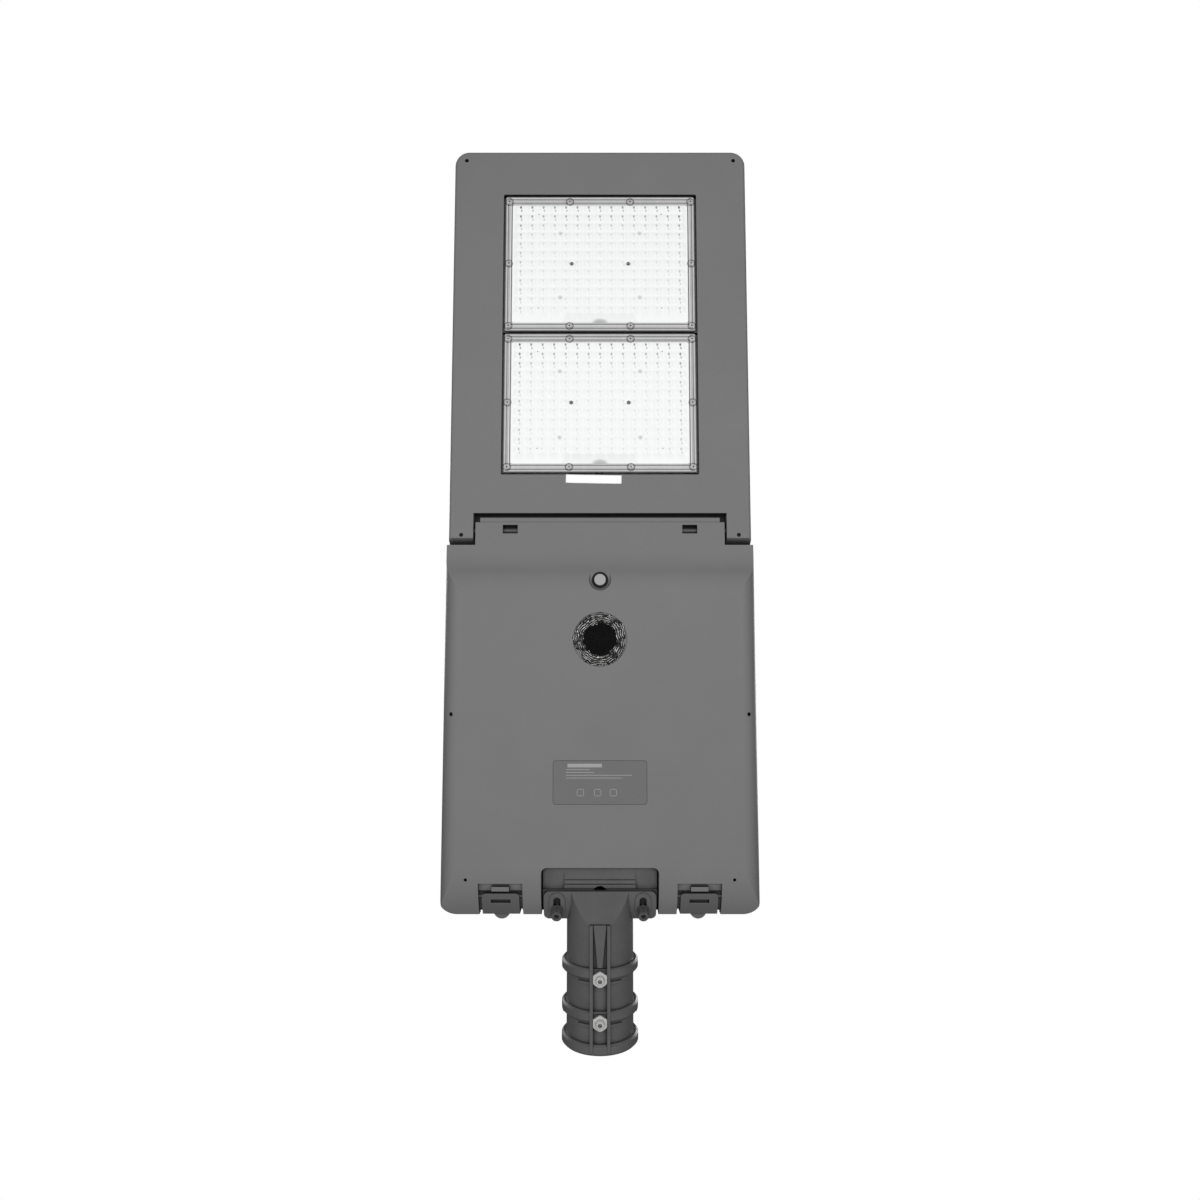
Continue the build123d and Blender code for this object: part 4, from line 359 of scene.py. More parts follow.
def galvanised(name, colour):
    """Zinc with its spangle: flat crystals of slightly different grey."""
    paint = Paint(name, Metallic=1.0)
    crystal = paint.specks(0.006)
    smear = paint.noise(0.02, 3.0)
    tone = paint.mix(crystal, shade(colour, 0.75), shade(colour, 1.1))
    paint.set(
        Base_Color=paint.mix(smear.ramp(0.5, 0.8) * 0.4, tone, shade(colour, 0.6)),
        Roughness=crystal * 0.15 + smear * 0.15 + 0.28,
        Normal=paint.bump(crystal * 0.6 + smear * 0.4, 0.00008, 0.4),
    )
    return paint.material


def rubbery(name, colour, rough=0.72):
    """Matte rubber or foam: pores and a grey bloom."""
    paint = Paint(name, Specular_IOR_Level=0.3)
    pores = paint.noise(0.0007, 3.0)
    bloom = paint.noise(0.012, 3.0)
    paint.set(
        Base_Color=paint.mix(bloom.ramp(0.45, 0.75), colour, tuple(c + 0.02 for c in colour)),
        Roughness=pores * 0.12 + bloom * 0.08 + (rough - 0.08),
        Normal=paint.bump(pores, 0.0001, 0.5),
    )
    return paint.material


def coated_board(name, colour):
    """A circuit board: mask over faint traces, with a slight weave."""
    paint = Paint(name)
    x, y, _ = paint.axes()
    weave = (x * 900.0).fraction() * (y * 900.0).fraction()
    trace = abs((x * 128.0).fraction() - 0.5).ramp(0.46, 0.48)
    trace = trace + abs((y * 76.0).fraction() - 0.5).ramp(0.47, 0.49)
    tone = paint.mix(weave * 0.3, colour, shade(colour, 0.92))
    paint.set(
        Base_Color=paint.mix(trace * 0.35, tone, shade(colour, 0.8)),
        Roughness=weave * 0.08 + paint.noise(0.004) * 0.1 + 0.35,
        Normal=paint.bump(trace, 0.00004, 0.5),
    )
    return paint.material


def glossy(name, colour, rough=0.12, coat=0.6, dusty=0.5, shine=0.5):
    """Polished plastic or silicone: slight waves and fine dust."""
    paint = Paint(name, Coat_Roughness=0.06, Specular_IOR_Level=shine)
    wave = paint.noise(0.01, 2.0)
    dust = paint.specks(0.0009).ramp(0.93, 1.0) * dusty
    tone = paint.mix(wave, shade(colour, 0.9), shade(colour, 1.1))
    paint.set(
        Base_Color=paint.mix(dust, tone, (0.35, 0.35, 0.34)),
        Roughness=dust * 0.4 + wave * 0.06 + rough,
        Coat_Weight=(1.0 - dust) * coat,
        Normal=paint.bump(wave, 0.0002, 0.3),
    )
    return paint.material


def solar_cells(name, colour):
    """Silicon strips: fine silver fingers across each strip and a grainy blue-black coat."""
    paint = Paint(name, Specular_IOR_Level=0.3)
    _, y, _ = paint.axes()
    finger = abs((y / 0.0016).fraction() - 0.5).ramp(0.40, 0.46)
    sparkle = paint.specks(0.0011).ramp(0.90, 1.0)
    cloud = paint.noise(0.06, 4.0)
    tone = paint.mix(cloud, colour, shade(colour, 1.9))
    tone = paint.mix(finger * 0.06, tone, (0.16, 0.165, 0.17))
    tone = paint.mix(sparkle * (cloud * 0.30 + 0.05), tone, (0.30, 0.31, 0.32))
    paint.set(
        Base_Color=tone,
        Roughness=sparkle * 0.2 + cloud * 0.12 + 0.22,
        Normal=paint.bump(finger * 0.5 + sparkle * 0.5, 0.00003, 0.3),
    )
    return paint.material


def patterned_glass(name):
    """Solar glass: mostly clear, with a fine hammered surface and dusty patches."""
    paint = Paint(name, Base_Color=(0.86, 0.90, 0.90), Specular_IOR_Level=0.4)
    hammer = paint.noise(0.0013, 2.0)
    dust = paint.noise(0.05, 5.0).ramp(0.46, 0.75)
    grit = paint.specks(0.0012).ramp(0.94, 1.0)
    paint.set(
        Alpha=dust * 0.020 + grit * 0.05 + 0.012,
        Roughness=hammer * 0.10 + dust * 0.15 + 0.10,
        Normal=paint.bump(hammer, 0.0001, 0.35),
    )
    paint.material.surface_render_method = "BLENDED"
    return paint.material


def printed_sheet(name, colour):
    """White film: faint weave, slight yellowing in places."""
    paint = Paint(name, Specular_IOR_Level=0.4)
    weave = paint.noise(0.0009, 2.0)
    old = paint.noise(0.08, 3.0)
    paint.set(
        Base_Color=paint.mix(old * 0.5 + weave * 0.3, shade(colour, 1.05), shade(colour, 0.88)),
        Roughness=weave * 0.15 + 0.42,
        Normal=paint.bump(weave, 0.00006, 0.4),
    )
    return paint.material


def lens_field_paint(name, colour, sizes):
    """White lens field: two soft dark dots in each lens, painted reflections of the LED chips that grow
    darker towards the head end and the sides, faint row lines, and the pale patch and grey smudge where
    the lead comes in."""
    paint = Paint(name, Specular_IOR_Level=0.5, Coat_Roughness=0.08, Coat_Weight=0.4)
    x, y, _ = paint.axes()
    chip_reflections_and_marks = 0.0
    for low, high in MODULES.values():
        middle, head = (low[1] + high[1]) / 2, high[1] - FIRST_ROW
        inside = abs(y - middle).ramp(0.0965, 0.0960)
        u = ((x / sizes.lens_pitch_x + 0.5).fraction() - 0.5) * sizes.lens_pitch_x
        v = (((y - head) / sizes.lens_pitch_y + 0.5).fraction() - 0.5) * sizes.lens_pitch_y
        # the two dark dots in each lens are painted reflections of the LED chips
        upper = (u * u + (v - 0.0024) * (v - 0.0024) * 0.45).ramp(3.2e-6, 4.0e-7)
        lower = (u + 0.0010) * (u + 0.0010) + (v + 0.0024) * (v + 0.0024) * 0.4
        lower = lower.ramp(2.2e-6, 2.0e-7)
        # strength of the painted chip reflections: more towards the head end and the sides
        depth = (y - middle).ramp(0.03, 0.085) * 0.60 + abs(x).ramp(0.085, 0.113) * 0.30 + 0.16
        row = abs(v).ramp(0.0060, 0.0066) * 0.07
        array = abs(x).ramp(0.1175, 0.1170) * (y - middle).ramp(-0.0735, -0.0725)
        chip_reflections_and_marks = chip_reflections_and_marks + inside * array * ((upper + lower * 0.7) * depth + row)
        edge = y - (low[1] + 0.012)
        patch = (abs(x) + edge * 0.45).ramp(0.0525, 0.0515) * edge.ramp(0.0135, 0.0128)
        patch = patch * inside * 0.07
        fuzz = paint.noise(0.003, 4.0)
        blot = (x * x * 0.35 + edge * edge).ramp(6.0e-5, 0.0) * inside * (fuzz * 0.5 + 0.45)
        chip_reflections_and_marks = chip_reflections_and_marks + patch + blot * 0.75
        for t in FIELD_SCREW_T:
            across, along = abs(x) - FIELD_SCREW_X, y - (high[1] - t)
            disc = across * across + along * along
            chip_reflections_and_marks = chip_reflections_and_marks + disc.ramp(1.1e-5, 8.0e-6) * 0.25 + disc.ramp(2.5e-6, 1.0e-6) * 0.25
        for t in MARK_T:
            across, along = abs(x) - MARK_X, y - (high[1] - t)
            chip_reflections_and_marks = chip_reflections_and_marks + (across * across + along * along).ramp(1.1e-6, 5.0e-7) * 0.8
    tone = paint.mix(chip_reflections_and_marks, colour, (0.10, 0.10, 0.10))
    haze = paint.noise(0.03, 3.0)
    paint.set(
        Base_Color=paint.mix(haze * 0.12, tone, shade(colour, 0.85)),
        Roughness=haze * 0.15 + 0.16,
        Normal=paint.bump(paint.noise(0.0012), 0.00004, 0.3),
    )
    return paint.material


def rim_paint(name, colour):
    """Clear moulding over a grey gasket. Bands follow the distance in from a module's edge: a dark
    outer line, a pale step, a thin groove, a grey flat, then a bright and a dark inner line. Dark
    rings stand round the screws."""
    paint = Paint(name, Specular_IOR_Level=0.6, Coat_Roughness=0.05, Coat_Weight=0.5)
    x, y, _ = paint.axes()
    cloud = paint.noise(0.02, 4.0)
    streak = paint.noise(0.004, 2.0, (1.0, 0.25, 1.0))
    dark, pale = 0.0, 0.0
    for low, high in MODULES.values():
        middle, half = (low[1] + high[1]) / 2, (high[1] - low[1]) / 2
        along = y - middle
        inset = (high[0] - abs(x)).maths("MINIMUM", high[0] - abs(x), half - abs(along))
        here = inset.ramp(-0.0004, -0.0003)
        lines = inset.ramp(0.0014, 0.0009)
        for place in (0.0039, 0.0090):
            lines = lines + abs(inset - place).ramp(0.0007, 0.0003)
        ring = 0.0
        for place, ends in zip(RIM_SCREW_X, ((RIM_SCREW_Y, 0.0), (RIM_SCREW_Y,))):
            across = abs(x) - place
            for end in ends:
                reach = abs(along) - end
                away = (across * across + reach * reach) ** 0.5
                ring = ring + abs(away - 0.0050).ramp(0.0010, 0.0004)
        dark = dark + here * (lines + ring * 0.9)
        pale = pale + here * abs(inset - 0.0026).ramp(0.0012, 0.0006) * 0.35
        pale = pale + here * abs(inset - 0.0076).ramp(0.0009, 0.0004)
    tone = paint.mix(cloud * 0.6 + streak * 0.4, shade(colour, 0.78), shade(colour, 1.30))
    tone = paint.mix(pale * 0.6, tone, (0.75, 0.75, 0.75))
    paint.set(
        Base_Color=paint.mix(dark * 0.75, tone, (0.03, 0.03, 0.03)),
        Roughness=cloud * 0.15 + 0.14,
        Normal=paint.bump(streak, 0.0001, 0.3),
    )
    return paint.material


# ---------------------------------------------------------------- mesh tools
def piece(name, points, faces, body, material, smooth=True):
    """Makes a mesh object from arrays of points and faces and lets it ride on a body."""
    mesh = bpy.data.meshes.new(name)
    mesh.from_pydata(np.asarray(points, dtype=float), [], np.asarray(faces).tolist())
    mesh.polygons.foreach_set("use_smooth", np.full(len(mesh.polygons), smooth))
    mesh.materials.append(material)
    mesh.update()
    made = bpy.data.objects.new(name, mesh)
    bpy.context.scene.collection.objects.link(made)
    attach(made, body)
    return made


def grid_faces(rows, columns, close_rows=False, close_columns=False):
    """Quads of a grid of points, row after row; either way may close on itself."""
    r = np.arange(rows if close_rows else rows - 1)
    c = np.arange(columns if close_columns else columns - 1)
    r, c = np.meshgrid(r, c, indexing="ij")
    r, c = r.ravel(), c.ravel()
    r1, c1 = (r + 1) % rows, (c + 1) % columns
    return np.stack([r * columns + c, r1 * columns + c, r1 * columns + c1, r * columns + c1], axis=1)


def rounded_rectangle(half_x, half_y, radius, corner=6):
    """Points and outward directions of a rounded rectangle: four corner arcs joined straight."""
    angle = np.linspace(0.0, np.pi / 2, corner)
    turns = np.arange(4) * np.pi / 2
    around = (turns[:, None] + angle[None, :]).ravel()
    signs = np.array([(1, 1), (-1, 1), (-1, -1), (1, -1)], dtype=float)
    centres = np.repeat(signs * (half_x - radius, half_y - radius), corner, axis=0)
    out = np.stack([np.cos(around), np.sin(around)], axis=1)
    return centres + radius * out, out


def swept_frame(centre, half_x, half_y, radius, profile, face_z):
    """A closed profile of (inset, depth below the face) carried round a rounded rectangle."""
    path, out = rounded_rectangle(half_x, half_y, radius)
    # outward directions of length one keep the profile's width
    inset = profile[:, 0][None, :, None]
    plan = path[:, None, :] - out[:, None, :] * inset
    z = np.broadcast_to(face_z - profile[:, 1][None, :], plan.shape[:2])
    points = np.concatenate([plan + np.array(centre[:2]), z[..., None]], axis=2)
    faces = grid_faces(len(path), len(profile), close_rows=True, close_columns=True)
    return points.reshape(-1, 3), faces


def boxes(rows):
    """Closed boxes from rows of (x0, x1, y0, y1, z0, z1)."""
    rows = np.asarray(rows, dtype=float)
    pick = np.array([(i, j, k) for i in (0, 1) for j in (2, 3) for k in (4, 5)])
    points = rows[:, pick]
    quads = np.array([
        (0, 1, 3, 2), (4, 6, 7, 5), (0, 4, 5, 1), (2, 3, 7, 6), (0, 2, 6, 4), (1, 5, 7, 3),
    ])
    faces = quads[None, :, :] + 8 * np.arange(len(rows))[:, None, None]
    return points.reshape(-1, 3), faces.reshape(-1, 4)


def rings(centres, radius, thick, face_z, around=24, section=8):
    """Half-sunk round beads, one about each centre: a small circle carried round a large one."""
    a = np.linspace(0, 2 * np.pi, around, endpoint=False)[:, None]
    b = np.linspace(0, 2 * np.pi, section, endpoint=False)[None, :]
    reach = radius + thick * np.cos(b)
    shape = np.stack([reach * np.cos(a), reach * np.sin(a), thick * np.sin(b) + 0 * a], axis=-1)
    shape = shape.reshape(-1, 3)
    centres = np.column_stack([np.asarray(centres, dtype=float), np.full(len(centres), face_z)])
    points = (centres[:, None, :] + shape[None, :, :]).reshape(-1, 3)
    one = grid_faces(around, section, close_rows=True, close_columns=True)
    faces = one[None, :, :] + len(shape) * np.arange(len(centres))[:, None, None]
    return points, faces.reshape(-1, 4)


# ---------------------------------------------------------------- operators
def dress(material, *slots):
    """Gives a material to every CAD node of the named record slots."""
    for part in frame["record"]["subparts"]:
        if part["material_slot"] in slots:
            mesh = NODES[part["node"]].data
            mesh.materials.clear()
            mesh.materials.append(material)


def settings():
    """The sizes and colours in the sidebar."""
    scene = bpy.context.scene
    return scene.lamp_sizes, scene.lamp_colours


class LAMP_OT_shells(bpy.types.Operator):
    """Finish the tray, the light cover, the battery door, the latches and the clips"""

    bl_idname = "lamp.shells"
    bl_label = "Shell finishes"

    def execute(self, context):
        sizes, colours = settings()
        dress(moulded("tray plastic", tuple(colours.tray), sizes.grain, 0.48), "tray_plastic")
        dress(moulded("cover plastic", tuple(colours.shell), sizes.grain), "cover_plastic", "door_plastic")
        dress(moulded("latch plastic", tuple(colours.latch), sizes.grain, 0.50), "latch_plastic")
        dress(moulded("clip plastic", tuple(colours.clip), sizes.grain, 0.50, 0.0005), "clip_plastic")
        dress(moulded("inside plastic", (0.02, 0.02, 0.021), sizes.grain, 0.45), "black_plastic")
        return {"FINISHED"}


class LAMP_OT_spigot(bpy.types.Operator):
    """Finish the spigot casting and its seat, and the dark bolts, pins, hinge rod and cover screws"""

    bl_idname = "lamp.spigot"
    bl_label = "Spigot finishes"

    def execute(self, context):
        _, colours = settings()
        dress(powder_coated("powder coat", tuple(colours.casting)), "painted_casting")
        dress(steel("dark zinc", (0.26, 0.26, 0.26), 0.26, metallic=0.8), "dark_zinc")
        return {"FINISHED"}


class LAMP_OT_fasteners(bpy.types.Operator):
    """Finish the stainless screws and nuts"""

    bl_idname = "lamp.fasteners"
    bl_label = "Fastener finishes"

    def execute(self, context):
        dress(steel("stainless", (0.84, 0.84, 0.82), 0.16, metallic=0.6), "stainless")
        return {"FINISHED"}


class LAMP_OT_panel(bpy.types.Operator):
    """Finish the solar panel: glass, cells, ribbons, sheet and seal"""

    bl_idname = "lamp.panel"
    bl_label = "Panel finishes"

    def execute(self, context):
        _, colours = settings()
        dress(patterned_glass("solar glass"), "panel_glass")
        dress(solar_cells("silicon", tuple(colours.silicon)), "silicon")
        dress(steel("tinned ribbon", (0.78, 0.79, 0.80), 0.30, 0.0006, 0.1), "tinned_ribbon")
        dress(printed_sheet("backsheet", tuple(colours.sheet)), "white_backsheet")
        dress(rubbery("rubber", (0.012, 0.012, 0.012)), "black_rubber")
        return {"FINISHED"}


class LAMP_OT_inside(bpy.types.Operator):
    """Finish the heatsinks, boards, battery, controller and leads"""

    bl_idname = "lamp.inside"
    bl_label = "Inner finishes"

    def execute(self, context):
        dress(galvanised("galvanised", (0.55, 0.56, 0.57)), "galvanised")
        dress(steel("extruded aluminium", (0.70, 0.71, 0.72), 0.30, 0.0005, 0.15), "heatsink_aluminium")
        dress(coated_board("white board", (0.86, 0.86, 0.85)), "white_board")
        dress(coated_board("green board", (0.02, 0.13, 0.05)), "green_board")
        dress(glossy("phosphor", (0.90, 0.78, 0.35), 0.30, 0.3), "led_phosphor")
        dress(glossy("cell sleeve", (0.02, 0.09, 0.30), 0.30, 0.3), "cell_sleeve")
        dress(rubbery("lead jacket", (0.015, 0.015, 0.016), 0.55), "lead_jacket")
        return {"FINISHED"}


class LAMP_OT_door_fittings(bpy.types.Operator):
    """Finish the label plate, the sensor window and the power button"""

    bl_idname = "lamp.door_fittings"
    bl_label = "Door fittings"

    def execute(self, context):
        _, colours = settings()
        film = moulded("label film", shade(tuple(colours.shell), 0.86), 0.0008, 0.40, 0.0002, 0.1)
        dress(film, "label_film")
        dress(glossy("smoked window", (0.002, 0.002, 0.002), 0.10, 0.0, 0.02, 0.25), "smoked_window")
        dress(steel("button ring", (0.09, 0.09, 0.09), 0.26, 0.0004), "button_metal")
        dress(moulded("button cap", (0.30, 0.30, 0.30), 0.0006, 0.30, 0.0003, 0.1), "button_cap")
        return {"FINISHED"}


class LAMP_OT_lens_domes(bpy.types.Operator):
    """Add the moulded lens domes on each light module"""

    bl_idname = "lamp.lens_domes"
    bl_label = "Lens domes"

    def execute(self, context):
        sizes, colours = settings()
        paint = lens_field_paint("lens field", tuple(colours.field), sizes)
        for name, (low, high) in MODULES.items():
            points, faces = self.surface(low, high, sizes)
            piece(f"lens_domes_{name}", points, faces, HEAD, paint)
        dress(rim_paint("lens plate rim", tuple(colours.rim)), "clear_lens")
        return {"FINISHED"}

    @staticmethod
    def surface(low, high, sizes):
        """A flat field on a grid of x and y. In each lens cell the height is a product of two
        fourth-power humps, so a lens is a rounded square; round screw holes push points outwards."""
        middle = (low[1] + high[1]) / 2
        columns, rows = LENS_COLUMNS * COLUMN_STEPS, LENS_ROWS * ROW_STEPS
        half_x = LENS_COLUMNS / 2 * sizes.lens_pitch_x
        top = high[1] - FIRST_ROW + sizes.lens_pitch_y / 2
        bottom = top - LENS_ROWS * sizes.lens_pitch_y
        ends = low[1] + FIELD_MARGIN, high[1] - FIELD_MARGIN
        x = np.linspace(-half_x, half_x, columns + 1)
        x = np.concatenate([[-FIELD_HALF_X], x, [FIELD_HALF_X]])
        y = np.linspace(bottom, top, rows + 1)
        y = np.concatenate([ends[:1], y, ends[1:]])
        x, y = np.meshgrid(x, y, indexing="ij")
        u = np.abs(((x + half_x) / sizes.lens_pitch_x) % 1.0 - 0.5) * 2.1
        v = np.abs(((y - bottom) / sizes.lens_pitch_y) % 1.0 - 0.5) * 2.1
        hump = np.clip(1 - u ** 4, 0, 1) * np.clip(1 - v ** 4, 0, 1)
        inside = (np.abs(x) <= half_x) & (y >= bottom) & (y <= top)
        z = low[2] + FIELD_DEPTH - sizes.lens_height * hump ** 0.6 * inside
        gone = np.zeros(x.shape, dtype=bool)
        for screw in (-CENTRE_SCREW_X, CENTRE_SCREW_X):
            dx, dy = x - screw, y - middle
            reach = np.hypot(dx, dy) + 1e-9
            near = reach < SCREW_HOLE
            gone |= near
            x = np.where(near, screw + dx / reach * SCREW_HOLE, x)
            y = np.where(near, middle + dy / reach * SCREW_HOLE, y)
            z = np.where(reach < SCREW_FLAT, low[2] + FIELD_DEPTH, z)
        faces = grid_faces(*x.shape)
        faces = faces[~gone.ravel()[faces].all(axis=1)]
        return np.stack([x, y, z], axis=-1).reshape(-1, 3), faces


class LAMP_OT_rim_frames(bpy.types.Operator):
    """Add the ribbed frame and the screw rings round each light module"""

    bl_idname = "lamp.rim_frames"
    bl_label = "Rim frames"

    def execute(self, context):
        sizes, colours = settings()
        paint = rim_paint("rim moulding", tuple(colours.rim))
        width = sizes.rim_width
        profile = np.array([
            (0.0, -0.0004), (0.0004, 0.0004), (0.0016, 0.0006), (0.0024, 0.0001), (0.0040, -0.0002),
            (width - 0.0022, -0.0001), (width - 0.0014, 0.0006), (width - 0.0004, 0.0005),
            (width, -0.0006), (width / 2, -0.0010),
        ])
        for name, (low, high) in MODULES.items():
            middle = centre_of(f"lens_plate_{name}")
            half_x, half_y = (high[0] - low[0]) / 2, (high[1] - low[1]) / 2
            outline = half_x - 0.0001, half_y - 0.0001, width + 0.0004
            points, faces = swept_frame(middle, *outline, profile, low[2])
            piece(f"rim_frame_{name}", points, faces, HEAD, paint)
            xs = [side * x for side in (-1, 1) for x in RIM_SCREW_X]
            spots = [(x, middle[1] + end * RIM_SCREW_Y) for x in xs for end in (-1, 1)]
            spots += [(-RIM_SCREW_X[0], middle[1]), (RIM_SCREW_X[0], middle[1])]
            points, faces = rings(spots, RING_RADIUS, RING_THICK, low[2])
            piece(f"rim_rings_{name}", points, faces, HEAD, paint)
        return {"FINISHED"}


class LAMP_OT_sealant(bpy.types.Operator):
    """Add the hand-laid ring of clear sealant round the sensor's window"""

    bl_idname = "lamp.sealant"
    bl_label = "Sealant ring"

    def execute(self, context):
        sizes, _ = settings()
        around, section = 180, 20
        a = np.linspace(0, 2 * np.pi, around, endpoint=False)[:, None]
        b = np.linspace(0, 2 * np.pi, section, endpoint=False)[None, :]
        # waves of a few lengths stand for the uneven hand: in width, in place and in height
        wave = 0.0010 * np.sin(3 * a + 0.7) + 0.0007 * np.sin(7 * a + 2.1) + 0.0005 * np.sin(17 * a)
        lump = 1 + 0.16 * np.sin(5 * a + 1.3) + 0.12 * np.sin(13 * a + 0.2)
        lump = lump + 0.10 * np.sin(29 * a + 4 * b)
        reach = sizes.bead_radius + wave + sizes.bead_width * lump * np.cos(b)
        z = DOOR[0][2] + 0.0009 + 0.0022 * lump * np.sin(b)
        points = np.stack([reach * np.cos(a), SENSOR[1] + reach * np.sin(a), z], axis=-1).reshape(-1, 3)
        faces = grid_faces(around, section, close_rows=True, close_columns=True)
        ring = piece("sealant_ring", points, faces, DOOR_BODY, self.paint())
        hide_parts("sensor_bead")
        return {"FINISHED"}

    @staticmethod
    def paint():
        """Clear silicone over dark plastic: broken bright strands run round the ring over dark
        lumps. The strands are level lines of the distance from the window plus a cloud."""
        paint = Paint("sealant", Specular_IOR_Level=0.5, Coat_Roughness=0.15)
        x, y, _ = paint.axes()
        dy = y - SENSOR[1]
        reach = (x * x + dy * dy) ** 0.5
        wander = paint.noise(0.014, 3.0)
        strand = abs((reach / 0.0026 + wander * 4.0).fraction() - 0.5).ramp(0.33, 0.46)
        lumps = paint.noise(0.0030, 3.0)
        milk = paint.noise(0.007, 3.0)
        bright = strand * milk.ramp(0.40, 0.56) + lumps.ramp(0.64, 0.72) * 0.7
        tone = paint.mix(lumps.ramp(0.42, 0.70), (0.004, 0.004, 0.004), (0.030, 0.030, 0.030))
        paint.set(
            Base_Color=paint.mix(bright, tone, (0.62, 0.62, 0.61)),
            Roughness=milk * 0.25 + 0.20,
            Coat_Weight=lumps.ramp(0.3, 0.6) * 0.3,
            Normal=paint.bump(lumps * 0.5 + strand * 0.5, 0.0006, 0.6),
        )
        return paint.material


class LAMP_OT_marks(bpy.types.Operator):
    """Add the blank bars of the label plate and the blank sticker beside the light"""

    bl_idname = "lamp.marks"
    bl_label = "Label bars and sticker"

    def execute(self, context):
        sizes, colours = settings()
        low, high = LABEL
        face = low[2]
        deep = face - 0.00012, face + 0.0001
        # a title bar and four thin lines: from, to, distance from the top edge, height
        bars = [(0.018, 0.062, 0.0035, 0.0046), (0.016, 0.046, 0.0105, 0.0008)]
        bars += [(0.016, 0.052, 0.0140, 0.0008), (0.016, 0.100, 0.0175, 0.0008)]
        bars += [(0.016, 0.088, 0.0210, 0.0008)]
        right, top = high[0], high[1]
        rows = [(right - b, right - a, top - t - h, top - t, *deep) for a, b, t, h in bars]
        # three blank square frames, each of four strokes
        side, stroke = 0.009, 0.0007
        ends = (0.0, stroke), (side - stroke, side)
        strokes = [(0.0, side, *end) for end in ends] + [(*end, 0.0, side) for end in ends]
        y = low[1] + 0.010
        for x in (0.030, 0.052, 0.072):
            start = right - x
            rows += [(start - bx, start - ax, y + ay, y + by, *deep) for ax, bx, ay, by in strokes]
        points, faces = boxes(rows)
        ink = moulded("label ink", shade(tuple(colours.shell), 1.9), 0.0004, 0.5, 0.0001, 0.1)
        piece("label_marks", points, faces, DOOR_BODY, ink, smooth=False)
        self.sticker(sizes)
        return {"FINISHED"}

    @staticmethod
    def sticker(sizes):
        """A thin sheet on a grid, turned a degree, whose ends lift by a sixth-power curve; its
        other face closes it."""
        rows, columns = 25, 7
        s, t = np.linspace(-0.5, 0.5, rows), np.linspace(-0.5, 0.5, columns)
        s, t = np.meshgrid(s, t, indexing="ij")
        turn = math.radians(1.0)
        dx, dy = s * sizes.sticker_length, t * sizes.sticker_width
        x = STICKER_X + dx * math.cos(turn) - dy * math.sin(turn)
        y = COVER[1][1] - STICKER_T + dx * math.sin(turn) + dy * math.cos(turn)
        z = COVER[0][2] - 0.00012 - 0.0006 * np.abs(2 * s) ** 6
        points = np.stack([x, y, z], axis=-1).reshape(-1, 3)
        faces = grid_faces(rows, columns)[:, ::-1]
        paper = printed_sheet("sticker paper", (0.86, 0.86, 0.86))
        sheet = piece("blank_sticker", points, faces, HEAD, paper)
        wall = sheet.modifiers.new("paper", "SOLIDIFY")
        wall.thickness = 0.0001
        wall.offset = 0.0


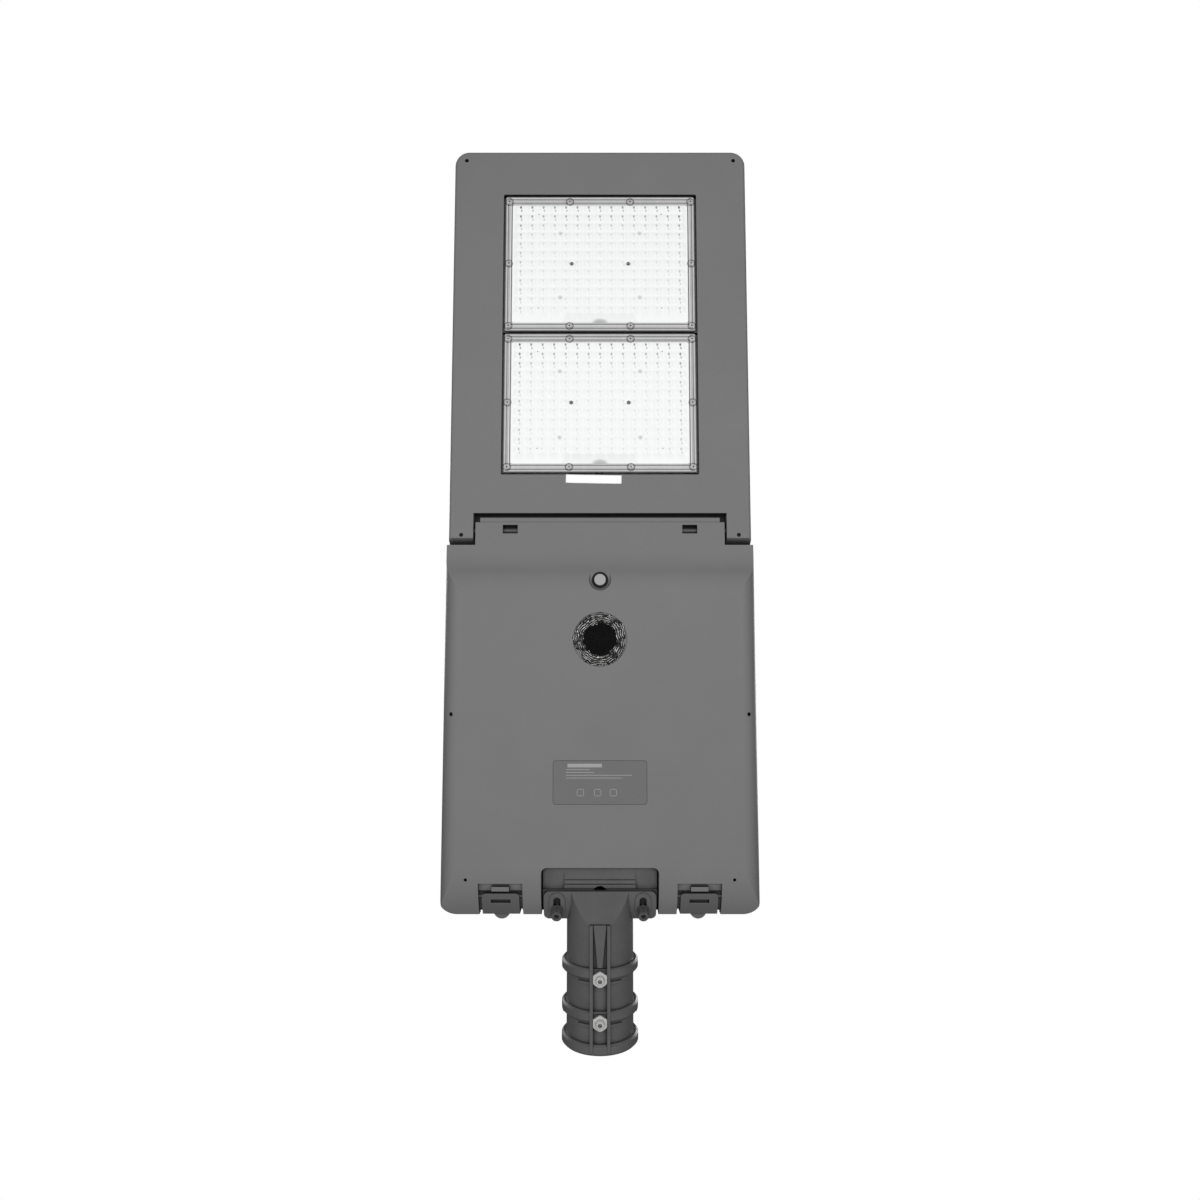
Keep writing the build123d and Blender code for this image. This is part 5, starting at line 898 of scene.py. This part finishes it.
class LAMP_OT_stage(bpy.types.Operator):
    """Add the floor, the soft lights and the camera"""

    bl_idname = "lamp.stage"
    bl_label = "Stage"

    def execute(self, context):
        scene = context.scene
        self.floor()
        scene.world = self.backdrop()
        scene.view_settings.view_transform = "Standard"
        middle = (0.0, (CAD_BOX[0][1] + CAD_BOX[1][1]) / 2, 0.0)
        for name, place, size, watts, glossy in LIGHTS:
            self.light(name, place, middle, size, watts, glossy)
        self.camera(scene)
        return {"FINISHED"}

    @staticmethod
    def backdrop():
        """A white surround that shows at full strength and lights the lamp at about an eighth."""
        world = bpy.data.worlds.new("studio")
        world.use_nodes = True
        tree = world.node_tree
        seen = tree.nodes.new("ShaderNodeLightPath").outputs["Is Camera Ray"]
        level = tree.nodes.new("ShaderNodeMapRange")
        level.inputs["To Min"].default_value = SURROUND_LIGHT
        level.inputs["To Max"].default_value = 1.0
        tree.links.new(seen, level.inputs["Value"])
        background = tree.nodes["Background"]
        background.inputs["Color"].default_value = (1.0, 1.0, 1.0, 1.0)
        tree.links.new(level.outputs["Result"], background.inputs["Strength"])
        return world

    @staticmethod
    def floor():
        near, far = FLOOR_CENTRE_Y - FLOOR_REACH, FLOOR_CENTRE_Y + FLOOR_REACH
        top, bottom = FLOOR_TOP, FLOOR_TOP - FLOOR_THICK
        points, faces = boxes([(-FLOOR_REACH, FLOOR_REACH, near, far, bottom, top)])
        mesh = bpy.data.meshes.new("floor")
        mesh.from_pydata(points, [], faces.tolist())
        paint = Paint("floor", Roughness=0.7)
        paint.set(Base_Color=paint.mix(paint.noise(0.8), (0.82, 0.82, 0.82), (0.86, 0.86, 0.86)))
        mesh.materials.append(paint.material)
        made = bpy.data.objects.new("floor", mesh)
        bpy.context.scene.collection.objects.link(made)

    @staticmethod
    def light(name, place, target, size, watts, glossy):
        data = bpy.data.lights.new(name, "AREA")
        data.shape, data.size, data.energy = "DISK", size, watts
        lamp = bpy.data.objects.new(name, data)
        lamp.location = place
        lamp.rotation_euler = pointed(np.subtract(target, place))
        lamp.visible_glossy = glossy
        bpy.context.scene.collection.objects.link(lamp)

    @staticmethod
    def camera(scene):
        """Below the lamp, square across it, leaning so that the spigot's end is nearer."""
        data = bpy.data.cameras.new("camera")
        data.lens, data.sensor_width, data.shift_y = CAMERA_LENS, CAMERA_SENSOR, CAMERA_SHIFT_Y
        camera = bpy.data.objects.new("camera", data)
        x, y, z = CAMERA_AIM
        back, down = CAMERA_DISTANCE * math.sin(CAMERA_LEAN), CAMERA_DISTANCE * math.cos(CAMERA_LEAN)
        camera.location = (x, y - back, z - down)
        camera.rotation_euler = (math.pi + CAMERA_LEAN, 0.0, math.pi)
        scene.collection.objects.link(camera)
        scene.camera = camera


def pointed(aim):
    """Angles that point a lamp's -Z along a direction."""
    x, y, z = aim / np.linalg.norm(aim)
    return (math.acos(-z), 0.0, math.atan2(-x, y) if (x or y) else 0.0)


class LAMP_PT_panel(bpy.types.Panel):
    """Sizes, colours and the steps that build the lamp's looks"""

    bl_label = "Street lamp"
    bl_idname = "LAMP_PT_panel"
    bl_space_type = "VIEW_3D"
    bl_region_type = "UI"
    bl_category = "Street lamp"

    def draw(self, context):
        for group in (context.scene.lamp_sizes, context.scene.lamp_colours):
            box = self.layout.box()
            for key in group.__annotations__:
                box.prop(group, key)
        for step in STEPS:
            self.layout.operator(step.bl_idname)


STEPS = (
    LAMP_OT_shells, LAMP_OT_spigot, LAMP_OT_fasteners, LAMP_OT_panel, LAMP_OT_inside,
    LAMP_OT_door_fittings, LAMP_OT_lens_domes, LAMP_OT_rim_frames, LAMP_OT_sealant,
    LAMP_OT_marks, LAMP_OT_stage,
)
CLASSES = (LampSizes, LampColours, *STEPS, LAMP_PT_panel)


def register():
    for cls in CLASSES:
        bpy.utils.register_class(cls)
    bpy.types.Scene.lamp_sizes = bpy.props.PointerProperty(type=LampSizes)
    bpy.types.Scene.lamp_colours = bpy.props.PointerProperty(type=LampColours)


def unregister():
    del bpy.types.Scene.lamp_colours
    del bpy.types.Scene.lamp_sizes
    for cls in reversed(CLASSES):
        bpy.utils.unregister_class(cls)


def main():
    register()
    for step in STEPS:
        group, name = step.bl_idname.split(".")
        getattr(getattr(bpy.ops, group), name)()


if __name__ == "__main__":
    main()
